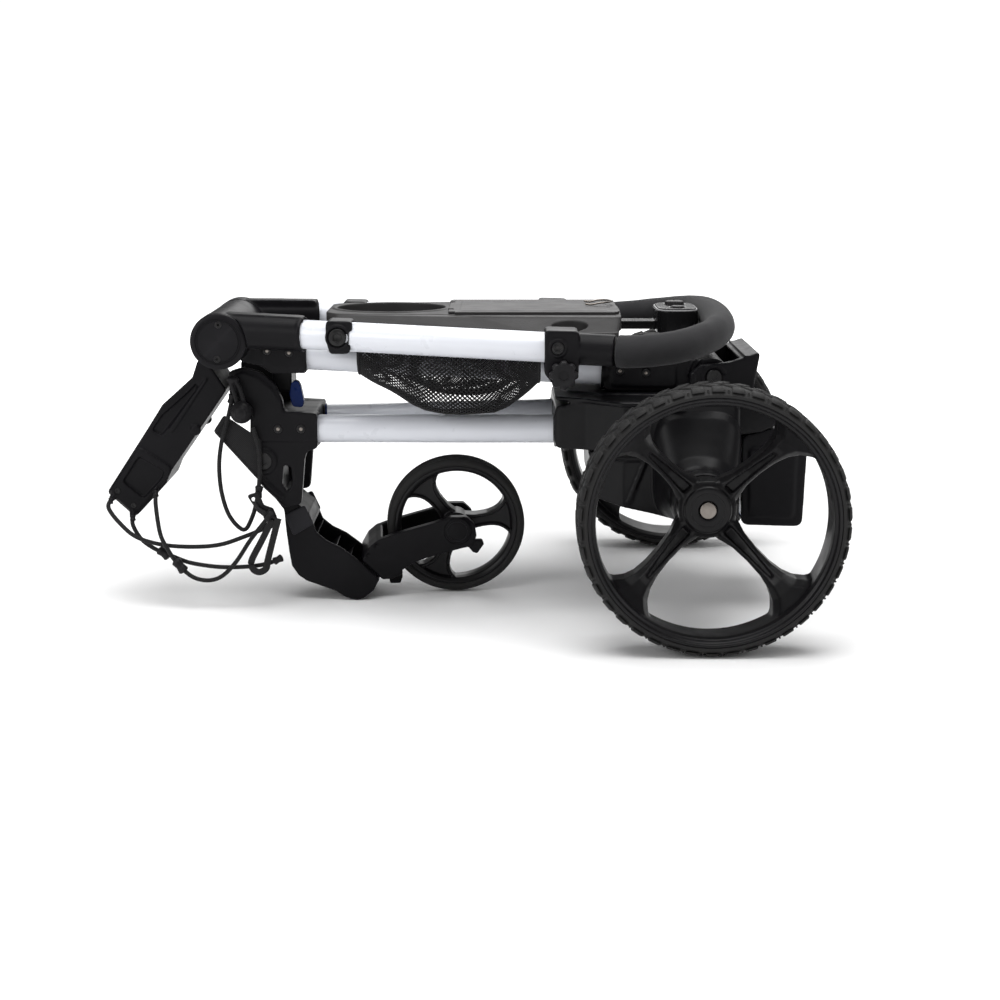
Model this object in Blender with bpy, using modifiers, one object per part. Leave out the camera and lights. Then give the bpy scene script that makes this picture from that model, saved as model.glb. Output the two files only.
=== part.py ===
"""Electric golf trolley, folded flat for carrying.

Frame: metres, +Z up, +X towards the driven rear wheels, +Y across the trolley.
The origin is on the floor, below the centre of the whole object.

The frame folds into three layers. The lower layer (chassis) runs from the front casting
to the rear housing. The middle layer hinges on the rear housing. The handle layer hinges
on the far end of the middle layer and lies on top. The front wheel's arm is tucked under.
"""

from math import cos, pi, radians, sin, tan, tau

import bmesh
import bpy
from mathutils import Matrix, Vector

# ---------------------------------------------------------------- driving dimensions
GAP = 0.0003                      # left between touching pieces
TUBE_R = 0.0170                   # all frame tubes

AXLE_X, AXLE_Z = 0.280, 0.150     # rear axle
WHEEL_R = 0.150
WHEEL_OUT = 0.3075                # outer face of a rear wheel, from the centre plane
TYRE_W = 0.065
HUB_OUT = 0.227                   # the rear hub is set deep in the rim
AXLE_R = 0.0095

UPPER_HINGE = (-0.281, 0.3255)     # handle layer to middle layer (X, Z)
CRADLE_HINGE = (-0.3065, 0.2933)  # bag cradle to the middle layer's head
REAR_HINGE = (0.300, 0.280)       # middle layer to rear housing
ARM_PIVOT = (-0.237, 0.176)       # front wheel arm to front casting

CROWN = Vector((-0.1135, 0.0, 0.0375))      # where the fork meets the arm
SWIVEL_AXIS = Vector((1.0, 0.0, 1.0)).normalized()
SWIVEL_ANGLE = radians(6)
CROWN_GAP = 0.0008
CASTER_AXLE = (-0.008, 0.0870)
CASTER_R = 0.085
CASTER_W = 0.028

LOWER_A, LOWER_B = Vector((-0.232, 0.036, 0.2119)), Vector((0.150, 0.069, 0.2171))
MIDDLE_A, MIDDLE_B = Vector((-0.215, 0.0352, 0.3022)), Vector((0.205, 0.0459, 0.2818))
HANDLE_A, HANDLE_B = Vector((-0.215, 0.1033, 0.3354)), Vector((0.176, 0.1955, 0.3253))

CHEEK_IN, CHEEK_OUT = 0.048, 0.062          # side plates of the front casting
ARM_HALF = 0.045
HOUSING_HALF = 0.130
NOSE_OUT = 0.190                            # end of each gearbox nose
KNUCKLE_HALF, DISC_OUT = 0.0705, 0.1065     # upper hinge: middle layer's knuckle, handle arm's disc


# ---------------------------------------------------------------- scene helpers
for old in list(bpy.data.objects):
    bpy.data.objects.remove(old, do_unlink=True)

parts = bpy.data.collections.new("golf_trolley")
cutters = bpy.data.collections.new("cutters")
bpy.context.scene.collection.children.link(parts)
bpy.context.scene.collection.children.link(cutters)


def material(name, colour, roughness, metallic=0.0):
    mat = bpy.data.materials.new(name)
    mat.use_nodes = True
    shader = mat.node_tree.nodes["Principled BSDF"]
    shader.inputs["Base Color"].default_value = (*colour, 1.0)
    shader.inputs["Roughness"].default_value = roughness
    shader.inputs["Metallic"].default_value = metallic
    return mat


BLACK = material("satin_black_plastic", (0.022, 0.022, 0.024), 0.45)
GREY = material("console_grey_plastic", (0.05, 0.05, 0.052), 0.5)
WHITE = material("gloss_white_paint", (0.82, 0.83, 0.85), 0.25)
RUBBER = material("tyre_rubber", (0.02, 0.02, 0.02), 0.75)
FOAM = material("grip_foam", (0.035, 0.035, 0.037), 0.85)
STEEL = material("brushed_steel", (0.55, 0.53, 0.50), 0.35, 1.0)
BLUE = material("blue_plastic", (0.02, 0.10, 0.45), 0.4)
NET = material("black_net", (0.012, 0.012, 0.013), 0.9)
CORD = material("elastic_cord", (0.015, 0.015, 0.016), 0.8)
BOARD = material("circuit_board", (0.02, 0.18, 0.06), 0.5)
CELLS = material("battery_cells", (0.10, 0.14, 0.30), 0.5)


def add(name, mesh, mat=None, group=parts):
    obj = bpy.data.objects.new(name, mesh)
    group.objects.link(obj)
    if mat:
        mesh.materials.clear()
        mesh.materials.append(mat)
    return obj


def flatten(obj):
    """The evaluated mesh of an object, in world space, as a new closed mesh object."""
    name, group = obj.name, obj.users_collection[0]
    mat = obj.data.materials[0] if obj.data.materials else None
    bpy.context.view_layer.update()
    evaluated = obj.evaluated_get(bpy.context.evaluated_depsgraph_get())
    mesh = bpy.data.meshes.new_from_object(evaluated)
    mesh.transform(obj.matrix_world)
    bm = bmesh.new()
    bm.from_mesh(mesh)
    bmesh.ops.remove_doubles(bm, verts=bm.verts, dist=2e-6)
    bmesh.ops.recalc_face_normals(bm, faces=bm.faces)
    bm.to_mesh(mesh)
    bm.free()
    bpy.data.objects.remove(obj, do_unlink=True)
    return add(name, mesh, mat, group)


def rounded(points, radius, steps=2):
    """An outline whose corners are arcs; each corner's arc is cut back if its sides are short."""
    result = []
    count = len(points)
    for i, corner in enumerate(points):
        here = Vector(corner)
        before = Vector(points[i - 1]) - here
        after = Vector(points[(i + 1) % count]) - here
        angle = before.angle(after)
        reach = min(radius / tan(angle / 2), 0.45 * before.length, 0.45 * after.length)
        start, end = here + before.normalized() * reach, here + after.normalized() * reach
        for k in range(steps + 1):
            t = k / steps
            point = start * (1 - t) ** 2 + here * 2 * t * (1 - t) + end * t ** 2
            result.append((point.x, point.y))
    return result


def outline(name, points, thickness, mat, group=parts):
    """A flat outline in the object's own XY plane, extruded to a thickness about that plane."""
    curve = bpy.data.curves.new(name, "CURVE")
    curve.dimensions = "2D"
    curve.fill_mode = "BOTH"
    curve.extrude = thickness / 2
    spline = curve.splines.new("POLY")
    spline.points.add(len(points) - 1)
    for point, (u, v) in zip(spline.points, points):
        point.co = (u, v, 0, 1)
    spline.use_cyclic_u = True
    curve.materials.append(mat)
    obj = bpy.data.objects.new(name, curve)
    group.objects.link(obj)
    return obj


def side_plate(name, points, y0, y1, mat=BLACK, group=parts):
    """An outline given in X and Z, extruded along Y from y0 to y1."""
    obj = outline(name, points, abs(y1 - y0), mat, group)
    obj.rotation_euler = (pi / 2, 0, 0)
    obj.location = (0, (y0 + y1) / 2, 0)
    return flatten(obj)


def flat_plate(name, points, z0, z1, mat=BLACK, group=parts):
    """An outline given in X and Y, extruded along Z from z0 to z1."""
    obj = outline(name, points, z1 - z0, mat, group)
    obj.location = (0, 0, (z0 + z1) / 2)
    return flatten(obj)


def block(name, low, high, mat=BLACK, bevel=0.0, group=parts):
    bm = bmesh.new()
    bmesh.ops.create_cube(bm, size=1.0)
    size = [b - a for a, b in zip(low, high)]
    middle = [(a + b) / 2 for a, b in zip(low, high)]
    bmesh.ops.scale(bm, vec=size, verts=bm.verts)
    if bevel:
        bmesh.ops.bevel(bm, geom=list(bm.edges), offset=bevel, segments=2, affect="EDGES", profile=0.5)
    bmesh.ops.translate(bm, vec=middle, verts=bm.verts)
    mesh = bpy.data.meshes.new(name)
    bm.to_mesh(mesh)
    bm.free()
    return add(name, mesh, mat, group)


def rod(name, start, end, radius, mat=BLACK, sides=24, group=parts, end_radius=None):
    """A cylinder, or a cone, between two points."""
    start, end = Vector(start), Vector(end)
    bm = bmesh.new()
    bmesh.ops.create_cone(bm, cap_ends=True, segments=sides, radius1=radius,
                          radius2=radius if end_radius is None else end_radius,
                          depth=(end - start).length)
    mesh = bpy.data.meshes.new(name)
    bm.to_mesh(mesh)
    bm.free()
    turn = (end - start).to_track_quat("Z", "Y").to_matrix().to_4x4()
    mesh.transform(Matrix.Translation((start + end) / 2) @ turn)
    return add(name, mesh, mat, group)


def turned(name, profile, centre, mat=BLACK, steps=32, side=1, group=parts):
    """A closed profile of (radius, distance along Y), turned about a Y axis through centre."""
    mesh = bpy.data.meshes.new(name)
    ring = [(r, 0.0, y) for r, y in profile]
    mesh.from_pydata(ring, [(i, (i + 1) % len(ring)) for i in range(len(ring))], [])
    obj = add(name, mesh, mat, group)
    screw = obj.modifiers.new("turn", "SCREW")
    screw.steps = screw.render_steps = steps
    screw.use_merge_vertices = True
    screw.merge_threshold = 1e-5
    screw.use_normal_calculate = True
    # the profile's own axis is Z: lay it along +Y or -Y
    obj.matrix_world = (Matrix.Translation((centre[0], 0, centre[1]))
                        @ Matrix.Rotation(-side * pi / 2, 4, "X"))
    return flatten(obj)


def wire(name, points, radius, mat, resolution=2, group=parts):
    """A round bar along a polyline."""
    curve = bpy.data.curves.new(name, "CURVE")
    curve.dimensions = "3D"
    curve.bevel_depth = radius
    curve.bevel_resolution = resolution
    curve.use_fill_caps = True
    spline = curve.splines.new("POLY")
    spline.points.add(len(points) - 1)
    for point, co in zip(spline.points, points):
        point.co = (*co, 1)
    curve.materials.append(mat)
    obj = bpy.data.objects.new(name, curve)
    group.objects.link(obj)
    return flatten(obj)


def smooth_path(points, per_span=4):
    """Points along a centripetal-like spline through the given points."""
    pts = [Vector(p) for p in points]
    pts = [2 * pts[0] - pts[1]] + pts + [2 * pts[-1] - pts[-2]]
    path = []
    for a, b, c, d in zip(pts, pts[1:], pts[2:], pts[3:]):
        for k in range(per_span):
            t = k / per_span
            path.append(0.5 * ((2 * b) + (c - a) * t + (2 * a - 5 * b + 4 * c - d) * t ** 2
                               + (3 * b - 3 * c + d - a) * t ** 3))
    path.append(pts[-2])
    return path


def combine(obj, operation, others):
    """Joins, cuts or intersects an object with others, which become hidden tools."""
    for n, tool in enumerate(others):
        tool.hide_render = True
        tool.display_type = "WIRE"
        tool.name = f"tool_{obj.name}_{n}_{operation.lower()}"
        for owner in list(tool.users_collection):
            owner.objects.unlink(tool)
        cutters.objects.link(tool)
        mod = obj.modifiers.new(operation.lower(), "BOOLEAN")
        mod.operation = operation
        mod.object = tool
        mod.solver = "EXACT"
    return flatten(obj)


def cut(obj, *others):
    return combine(obj, "DIFFERENCE", others)


def join(obj, *others):
    return combine(obj, "UNION", others)


def mirrored(point, side):
    return Vector((point[0], side * point[1], point[2]))


def along(a, b, x):
    """The point at X = x on the line from a to b."""
    return a + (b - a) * ((x - a.x) / (b.x - a.x))


SIDES = (("near", -1), ("far", 1))


# ---------------------------------------------------------------- frame tubes
def frame_tubes():
    for layer, a, b in (("lower", LOWER_A, LOWER_B), ("middle", MIDDLE_A, MIDDLE_B),
                        ("handle", HANDLE_A, along(HANDLE_A, HANDLE_B, 0.1270))):
        for label, side in SIDES:
            rod(f"{layer}_tube_{label}", mirrored(a, side), mirrored(b, side), TUBE_R, WHITE, 20)


def tube_bore(name, a, b, side, radius=TUBE_R + GAP):
    """A cutter a little wider than a tube, past both of the tube's ends."""
    reach = (b - a).normalized() * 0.001
    return rod(name, mirrored(a - reach, side), mirrored(b + reach, side), radius + 0.0002, sides=20)


# ---------------------------------------------------------------- front casting and arm
def front_casting():
    cheek = [(-0.277, 0.284), (-0.260, 0.2890), (-0.240, 0.284), (-0.222, 0.269), (-0.2135, 0.250),
             (-0.2110, 0.236), (-0.172, 0.2345), (-0.172, 0.1915), (-0.185, 0.188), (-0.188, 0.178),
             (-0.193, 0.123), (-0.213, 0.119), (-0.238, 0.143), (-0.254, 0.166), (-0.252, 0.236),
             (-0.276, 0.253)]
    slot = rounded([(-0.212, 0.172), (-0.204, 0.168), (-0.203, 0.150), (-0.208, 0.138), (-0.215, 0.148)], 0.003)
    core = side_plate("front_casting", rounded([(-0.236, 0.1920), (-0.251, 0.2120), (-0.251, 0.2345), (-0.173, 0.2340),
                                                (-0.173, 0.1925)], 0.004), -CHEEK_IN - 0.002, CHEEK_IN + 0.002)
    walls = []
    for label, side in SIDES:
        wall = side_plate(f"cheek_{label}", rounded(cheek, 0.006), side * CHEEK_IN, side * CHEEK_OUT)
        walls.append(wall)
    core = join(core, *walls)
    tools = [side_plate("slot", slot, -0.08, 0.08, group=cutters),
             rod("bore", (ARM_PIVOT[0], -0.07, ARM_PIVOT[1]), (ARM_PIVOT[0], 0.07, ARM_PIVOT[1]), 0.0083, sides=16)]
    for label, side in SIDES:
        tools.append(tube_bore(f"socket_{label}", LOWER_A, LOWER_B, side))
    cut(core, *tools)
    rod("arm_pivot_pin", (ARM_PIVOT[0], -0.0625, ARM_PIVOT[1]), (ARM_PIVOT[0], 0.0625, ARM_PIVOT[1]), 0.008, STEEL, 16)


def front_arm():
    px, pz = ARM_PIVOT
    head = [(px + 0.0155 * cos(radians(t)), pz + 0.0155 * sin(radians(t))) for t in range(-20, 201, 20)]
    body = [(-0.2505, 0.168), (-0.237, 0.141), (-0.216, 0.113), (-0.214, 0.087), (-0.211, 0.062),
            (-0.208, 0.043), (-0.200, 0.031), (-0.190, 0.024), (-0.154, 0.011), (-0.145, 0.0045), (-0.136, 0.001),
            (-0.128, 0.0), (-0.120, 0.0025), (-0.108, 0.012), (-0.1012, 0.0250), (-0.1262, 0.0500), (-0.147, 0.066),
            (-0.165, 0.075), (-0.177, 0.085), (-0.186, 0.110), (-0.200, 0.121), (-0.217, 0.135)]
    shell = side_plate("front_arm_shell", head + body, -ARM_HALF, ARM_HALF)
    pocket = side_plate("pocket", [(-0.176, 0.0990), (-0.200, 0.076), (-0.182, 0.062), (-0.135, 0.025),
                                   (-0.1255, 0.0345), (-0.118, 0.052), (-0.160, 0.100)], -0.037, 0.037, group=cutters)
    tools = [pocket,
             rod("bore", (px, -0.07, pz), (px, 0.07, pz), 0.0083, sides=16),
             rod("stem_bore", CROWN - SWIVEL_AXIS * 0.016, CROWN + SWIVEL_AXIS * 0.01, 0.0113, sides=24)]
    shell = cut(shell, *tools)
    rib = side_plate("rib", [(-0.1575, 0.062), (-0.152, 0.066), (-0.163, 0.050), (-0.168, 0.054)], -0.0375, 0.0375)
    join(shell, rib)
    # smooth grey band saddled over the joint between casting and arm
    band = side_plate("arm_band", [(-0.215, 0.107), (-0.1905, 0.1195), (-0.1795, 0.096), (-0.205, 0.081)],
                      -0.0478, 0.0478, GREY)
    hollow = side_plate("hollow", [(-0.230, 0.100), (-0.1860, 0.1280), (-0.1860, 0.1120), (-0.1755, 0.0820),
                                   (-0.225, 0.070)], -ARM_HALF - GAP, ARM_HALF + GAP, group=cutters)
    band = cut(band, hollow)
    return band


# ---------------------------------------------------------------- caster fork and wheel
def caster():
    ax, az = CASTER_AXLE
    blade = [(-0.126, 0.0506), (-0.117, 0.067), (-0.107, 0.0755), (-0.085, 0.0835), (-0.036, 0.097),
             (-0.016, 0.104), (0.003, 0.104), (0.013, 0.094), (0.0155, 0.079), (0.008, 0.066),
             (-0.006, 0.063), (-0.037, 0.055), (-0.061, 0.047), (-0.080, 0.035), (-0.090, 0.026),
             (-0.1010, 0.0256)]
    fork = side_plate("fork", rounded(blade, 0.005), -0.038, 0.038)
    well = side_plate("well", [(-0.098, 0.084), (-0.098, 0.056), (-0.081, 0.040), (-0.070, 0.030), (0.05, 0.03),
                               (0.05, 0.13), (-0.098, 0.13)], -0.026, 0.026, group=cutters)
    bx, bz = ax - SWIVEL_AXIS.x * CROWN_GAP, az - SWIVEL_AXIS.z * CROWN_GAP
    bore = rod("bore", (bx, -0.05, bz), (bx, 0.05, bz), 0.0064, sides=16)
    bosses = [rod(f"boss_{label}", (bx, side * 0.034, bz), (bx, side * 0.0408, bz), 0.0155) for label, side in SIDES]
    fork = join(fork, *bosses)
    fork = cut(fork, well, bore)
    tab = side_plate("tab", [(0.010, 0.0735), (0.0225, 0.0735), (0.0245, 0.068), (0.016, 0.056), (0.0105, 0.058),
                             (0.004, 0.0665)], -0.036, -0.0265)
    stem = rod("stem", CROWN - SWIVEL_AXIS * 0.0145, CROWN + SWIVEL_AXIS * 0.004, 0.011, sides=24)
    fork = join(fork, tab, stem)
    # the arm's end and the fork's crown face each other across a thin gap
    fork.data.transform(Matrix.Translation(SWIVEL_AXIS * CROWN_GAP))
    pieces = [fork, rod("front_axle", (ax, -0.0405, az), (ax, 0.0405, az), 0.006, STEEL, 16)]
    lever = side_plate("swivel_lever", rounded([(-0.0935, 0.0245), (-0.083, 0.0315), (-0.0765, 0.0285),
                                                (-0.0800, 0.0185), (-0.0930, 0.0185)], 0.002), -0.024, -0.012)
    lever.data.transform(Matrix.Translation((0.002, 0, -0.002)))
    pieces.append(lever)
    # wheel: tyre, then a rim with three flared spokes
    half = CASTER_W / 2
    pieces.append(turned("front_tyre", [(CASTER_R, -half + 0.005), (CASTER_R, half - 0.005), (CASTER_R - 0.004, half),
                                        (CASTER_R - 0.0085, half), (CASTER_R - 0.0085, -half),
                                        (CASTER_R - 0.004, -half)], (ax, az), RUBBER, 36))
    rim_r = CASTER_R - 0.0085 - GAP
    rim = turned("front_rim", [(rim_r, -0.0125), (rim_r, 0.0125), (rim_r - 0.008, 0.0125),
                               (rim_r - 0.010, 0.004), (rim_r - 0.010, -0.004), (rim_r - 0.008, -0.0125)],
                 (ax, az), BLACK, 36)
    hub = rod("hub", (ax, -0.0235, az), (ax, 0.0235, az), 0.014, sides=24)
    spokes = []
    for n in range(3):
        turn = radians(9 + 120 * n)
        reach = rim_r - 0.004
        flare = [(0.008, 0.011), (0.030, 0.0075), (0.050, 0.011), (reach, 0.022), (reach, -0.022),
                 (0.050, -0.011), (0.030, -0.0075), (0.008, -0.011)]
        points = [(ax + u * cos(turn) - v * sin(turn), az + u * sin(turn) + v * cos(turn)) for u, v in flare]
        spokes.append(side_plate(f"spoke_{n}", points, -0.008, 0.008))
    rim = join(rim, hub, *spokes)
    pieces.append(cut(rim, rod("hole", (ax, -0.05, az), (ax, 0.05, az), 0.0064, sides=16)))
    turn = (Matrix.Translation(CROWN) @ Matrix.Rotation(SWIVEL_ANGLE, 4, SWIVEL_AXIS)
            @ Matrix.Translation(-CROWN))
    for piece in pieces:
        piece.data.transform(turn)


# ---------------------------------------------------------------- rear housing and drive
def rear_housing():
    profile = [(0.112, 0.2475), (0.165, 0.2555), (0.326, 0.2555), (0.328, 0.114), (0.259, 0.117),
               (0.224, 0.126), (0.156, 0.141), (0.152, 0.1960), (0.112, 0.1970)]
    plan = [(0.110, -0.092), (0.150, -0.098), (0.190, -HOUSING_HALF), (0.330, -HOUSING_HALF),
            (0.330, HOUSING_HALF), (0.190, HOUSING_HALF), (0.150, 0.098), (0.110, 0.092)]

    def solid(name, inset, z0, z1):
        body = side_plate(name, profile, -0.14, 0.14)
        centre = Vector((0.222, 0.0, 0.0))
        shrunk = [((x - centre.x) * (1 - inset / 0.11) + centre.x, y * (1 - inset / 0.13)) for x, y in plan]
        if inset:
            squeeze = Matrix.Diagonal((1 - inset / 0.11, 1.0, 1 - inset / 0.07, 1.0))
            pivot = Vector((0.222, 0.0, 0.188))
            body.data.transform(Matrix.Translation(pivot) @ squeeze @ Matrix.Translation(-pivot))
        keep = flat_plate("keep", shrunk, z0, z1)
        return combine(body, "INTERSECT", [keep])

    # flared lid over the front half, and the shoulder above the battery
    lid = flat_plate("lid", rounded([(0.106, -0.082), (0.150, -0.104), (0.186, -0.137), (0.262, -0.137),
                                     (0.262, -0.084), (0.262, 0.084), (0.262, 0.137), (0.186, 0.137), (0.150, 0.104),
                                     (0.106, 0.082)], 0.010), 0.2540, 0.2580)
    split = 0.1955
    upper = solid("housing_upper", 0.0, split + GAP, 0.30)
    lower = solid("housing_lower", 0.0, 0.05, split)
    upper = cut(upper, solid("upper_hollow", 0.004, 0.1, 0.30))
    shoulder = side_plate("shoulder", rounded([(0.3260, 0.2550), (0.358, 0.2500), (0.3735, 0.2425),
                                               (0.3725, 0.2260), (0.3260, 0.2145)], 0.003), -0.102, 0.102)
    upper = cut(join(upper, lid, shoulder), *[tube_bore(f"socket_{s}", LOWER_A, LOWER_B, side) for s, side in SIDES])
    ends = [rod(f"shaft_hole_{s}", (AXLE_X, side * 0.10, AXLE_Z), (AXLE_X, side * 0.15, AXLE_Z), 0.0205, sides=32)
            for s, side in SIDES]
    lower = cut(lower, solid("lower_hollow", 0.004, 0.05, 0.30), *ends)
    # ears of the rear hinge, and the lipped tail behind it
    hx, hz = REAR_HINGE
    ear = [(0.270, 0.2562), (0.272, 0.284), (0.284, 0.2945), (0.320, 0.298), (0.350, 0.309), (0.354, 0.307), (0.347, 0.2665),
           (0.3265, 0.2625), (0.3265, 0.2562)]
    tail = block("hinge_bracket", (0.336, -0.080, 0.2665), (0.348, 0.080, 0.306))
    ears = [side_plate(f"ear_{s}", rounded(ear, 0.004), side * 0.068, side * 0.080) for s, side in SIDES]
    foot = block("foot", (0.2740, -0.0745, 0.2566), (0.3240, 0.0745, 0.2585))
    bracket = join(tail, *ears, foot)
    cut(bracket, rod("bore", (hx, -0.09, hz), (hx, 0.09, hz), 0.0066, sides=16))
    rod("rear_hinge_pin", (hx, -0.082, hz), (hx, 0.082, hz), 0.0062, STEEL, 16)


def drive():
    for label, side in SIDES:
        turned(f"gearbox_{label}", [(0.044, HOUSING_HALF + GAP), (0.042, 0.142), (0.035, 0.165), (0.0335, NOSE_OUT),
                                    (0.0185, NOSE_OUT), (0.0185, HOUSING_HALF + GAP)],
               (AXLE_X, AXLE_Z), BLACK, 24, side)
        turned(f"bearing_{label}", [(0.0181, 0.176), (0.0181, 0.188), (0.0100, 0.188), (0.0100, 0.176)],
               (AXLE_X, AXLE_Z), STEEL, 24, side)
        rod(f"motor_{label}", (AXLE_X, side * 0.030, AXLE_Z), (AXLE_X, side * 0.112, AXLE_Z), 0.026, STEEL)
    block("control_board", (0.172, -0.060, 0.166), (0.246, 0.060, 0.170), BOARD)


def battery():
    case = side_plate("battery_case", rounded([(0.3325, 0.2125), (0.372, 0.2230), (0.410, 0.2020), (0.4065, 0.104),
                                               (0.3335, 0.106)], 0.004), -0.100, 0.100)
    cut(case, block("cavity", (0.325, -0.095, 0.110), (0.401, 0.095, 0.196)),
        block("button_bore", (0.3775, -0.0185, 0.2060), (0.3965, 0.0185, 0.2400)))
    block("battery_cells", (0.3360, -0.094, 0.1110), (0.4000, 0.094, 0.1950), CELLS, 0.003)
    block("battery_button", (0.378, -0.018, 0.2095), (0.396, 0.018, 0.2235), BLUE)


def rear_wheel(label, side):
    middle = WHEEL_OUT - TYRE_W / 2
    half = TYRE_W / 2
    turned(f"tyre_{label}", [(WHEEL_R, middle - half + 0.010), (WHEEL_R, middle + half - 0.010),
                             (WHEEL_R - 0.006, middle + half), (WHEEL_R - 0.0105, middle + half),
                             (WHEEL_R - 0.0105, middle - half), (WHEEL_R - 0.006, middle - half)],
           (AXLE_X, AXLE_Z), RUBBER, 48, side)
    seat = WHEEL_R - 0.0105 - GAP
    rim = turned(f"rim_{label}", [(seat, middle - 0.031), (seat, middle + 0.031), (seat - 0.004, middle + 0.031),
                                  (seat - 0.009, middle + 0.020), (seat - 0.009, middle - 0.020),
                                  (seat - 0.006, middle - 0.031)], (AXLE_X, AXLE_Z), BLACK, 48, side)
    hub = rod("hub", (AXLE_X, side * 0.1915, AXLE_Z), (AXLE_X, side * 0.2255, AXLE_Z), 0.032, sides=32)
    spokes = []
    for n in range(4):
        turn = radians(45 + 90 * n)
        bm = bmesh.new()
        stations = ((0.020, 0.017, 0.197, 0.2225), (0.060, 0.009, 0.208, 0.236), (0.100, 0.011, 0.228, 0.262),
                    (0.120, 0.020, 0.244, 0.284), (seat - 0.006, 0.034, 0.2555, 0.2985))
        rings = []
        for reach, wide, inner, outer in stations:
            corners = ((wide, inner), (-wide, inner), (-wide, outer), (wide, outer))
            rings.append([bm.verts.new((AXLE_X + reach * cos(turn) - w * sin(turn), side * y,
                                        AXLE_Z + reach * sin(turn) + w * cos(turn))) for w, y in corners])
        for a, b in zip(rings, rings[1:]):
            for i in range(4):
                bm.faces.new((a[i], a[(i + 1) % 4], b[(i + 1) % 4], b[i]))
        bm.faces.new(rings[0])
        bm.faces.new(rings[-1])
        bmesh.ops.recalc_face_normals(bm, faces=bm.faces)
        mesh = bpy.data.meshes.new("spoke")
        bm.to_mesh(mesh)
        bm.free()
        spokes.append(add(f"spoke_{label}_{n}", mesh, BLACK))
    cap = rod("cap", (AXLE_X, side * 0.22, AXLE_Z), (AXLE_X, side * (HUB_OUT + 0.003), AXLE_Z), 0.028, sides=32)
    rim = join(rim, hub, cap, *spokes)
    cut(rim, rod("bore", (AXLE_X, side * 0.18, AXLE_Z), (AXLE_X, side * 0.25, AXLE_Z), AXLE_R + GAP, sides=32))
    rod(f"axle_{label}", (AXLE_X, side * 0.1125, AXLE_Z), (AXLE_X, side * 0.2315, AXLE_Z), AXLE_R, STEEL)


# ---------------------------------------------------------------- middle layer
def middle_layer():
    hx, hz = UPPER_HINGE
    knuckle = rod("middle_head", (hx, -KNUCKLE_HALF, hz), (hx, KNUCKLE_HALF, hz), 0.0325, sides=32)
    neck = side_plate("neck", rounded([(-0.262, 0.2960), (-0.240, 0.2915), (-0.226, 0.2820), (-0.184, 0.2820), (-0.184, 0.3200),
                                       (-0.245, 0.3225), (-0.262, 0.330)], 0.003), -0.058, 0.058)
    stop = block("stop", (-0.229, -0.028, 0.2560), (-0.205, 0.028, 0.2870))
    cx, cz = CRADLE_HINGE
    lug = side_plate("lug", [(-0.300, 0.306), (-0.3105, 0.2975), (-0.3025, 0.2885), (-0.291, 0.297)], -0.030, 0.030)
    barrel = rod("barrel", (cx, -0.030, cz), (cx, 0.030, cz), 0.0060, sides=16)
    head = join(knuckle, neck, stop, lug, barrel)
    cut(head, rod("bore", (hx, -0.10, hz), (hx, 0.10, hz), 0.0083, sides=16),
        rod("cradle_bore", (cx, -0.05, cz), (cx, 0.05, cz), 0.0032, sides=16),
        *[tube_bore(f"socket_{s}", MIDDLE_A, MIDDLE_B, side) for s, side in SIDES])
    pin = rod("upper_hinge_pin", (hx, -0.1080, hz), (hx, 0.1080, hz), 0.0080, BLACK, 16)
    caps = [rod(f"cap_{label}", (hx, side * (DISC_OUT + GAP), hz), (hx, side * 0.1110, hz), 0.0325, sides=32)
            for label, side in SIDES]
    join(pin, *caps)
    rx, rz = REAR_HINGE
    heel = side_plate("middle_heel", rounded([(0.171, 0.2625), (0.171, 0.3025), (0.262, 0.3015), (0.296, 0.2960),
                                              (0.296, 0.2615)], 0.003), -0.066, 0.066)
    roll = rod("roll", (rx, -0.066, rz), (rx, 0.066, rz), 0.0205, sides=32)
    heel = join(heel, roll)
    cut(heel, rod("bore", (rx, -0.09, rz), (rx, 0.09, rz), 0.0066, sides=16),
        *[tube_bore(f"socket_{s}", MIDDLE_A, MIDDLE_B, side) for s, side in SIDES])


# ---------------------------------------------------------------- handle layer
def handle_layer():
    hx, hz = UPPER_HINGE
    for label, side in SIDES:
        disc = rod(f"handle_arm_{label}", (hx, side * (KNUCKLE_HALF + GAP), hz), (hx, side * DISC_OUT, hz),
                   0.0330, sides=32)
        end = -0.180 if side < 0 else -0.186
        arm = side_plate("arm", rounded([(-0.276, 0.3580), (end, 0.3550), (end, 0.3165), (-0.266, 0.3165)], 0.004),
                         side * (KNUCKLE_HALF + GAP), side * DISC_OUT)
        slope = (HANDLE_B.y - HANDLE_A.y) / (HANDLE_B.x - HANDLE_A.x)
        for vertex in arm.data.vertices:         # the arm follows its tube, away from the centre plane
            vertex.co.y += side * slope * (vertex.co.x - hx)
        disc = join(disc, arm)
        cut(disc, tube_bore("socket", HANDLE_A, HANDLE_B, side),
            rod("bore", (hx, side * 0.06, hz), (hx, side * 0.12, hz), 0.0083, sides=16),
            rod("seat", (hx, side * DISC_OUT, hz), (hx, side * 0.13, hz), 0.0330, sides=32))
    front_clamp()
    rear_clamp()


def clamp_pair(name, shape, at, inner, outer, bridge):
    """Two clamp blocks around the handle tubes, joined by a bar under the console."""
    bar = block(name, *bridge)
    blocks = [side_plate(f"clamp_{label}", rounded(shape, 0.004), side * (at - inner), side * (at + outer))
              for label, side in SIDES]
    pair = join(bar, *blocks)
    return cut(pair, *[tube_bore(f"socket_{label}", HANDLE_A, along(HANDLE_A, HANDLE_B, 0.1271), side)
                       for label, side in SIDES])


def front_clamp():
    at = along(HANDLE_A, HANDLE_B, -0.137).y
    clamp_pair("front_clamp", [(-0.152, 0.3530), (-0.122, 0.3525), (-0.122, 0.3150), (-0.152, 0.3150)], at,
               0.023, 0.020, ((-0.148, -at, 0.3200), (-0.126, at, 0.3275)))


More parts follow.
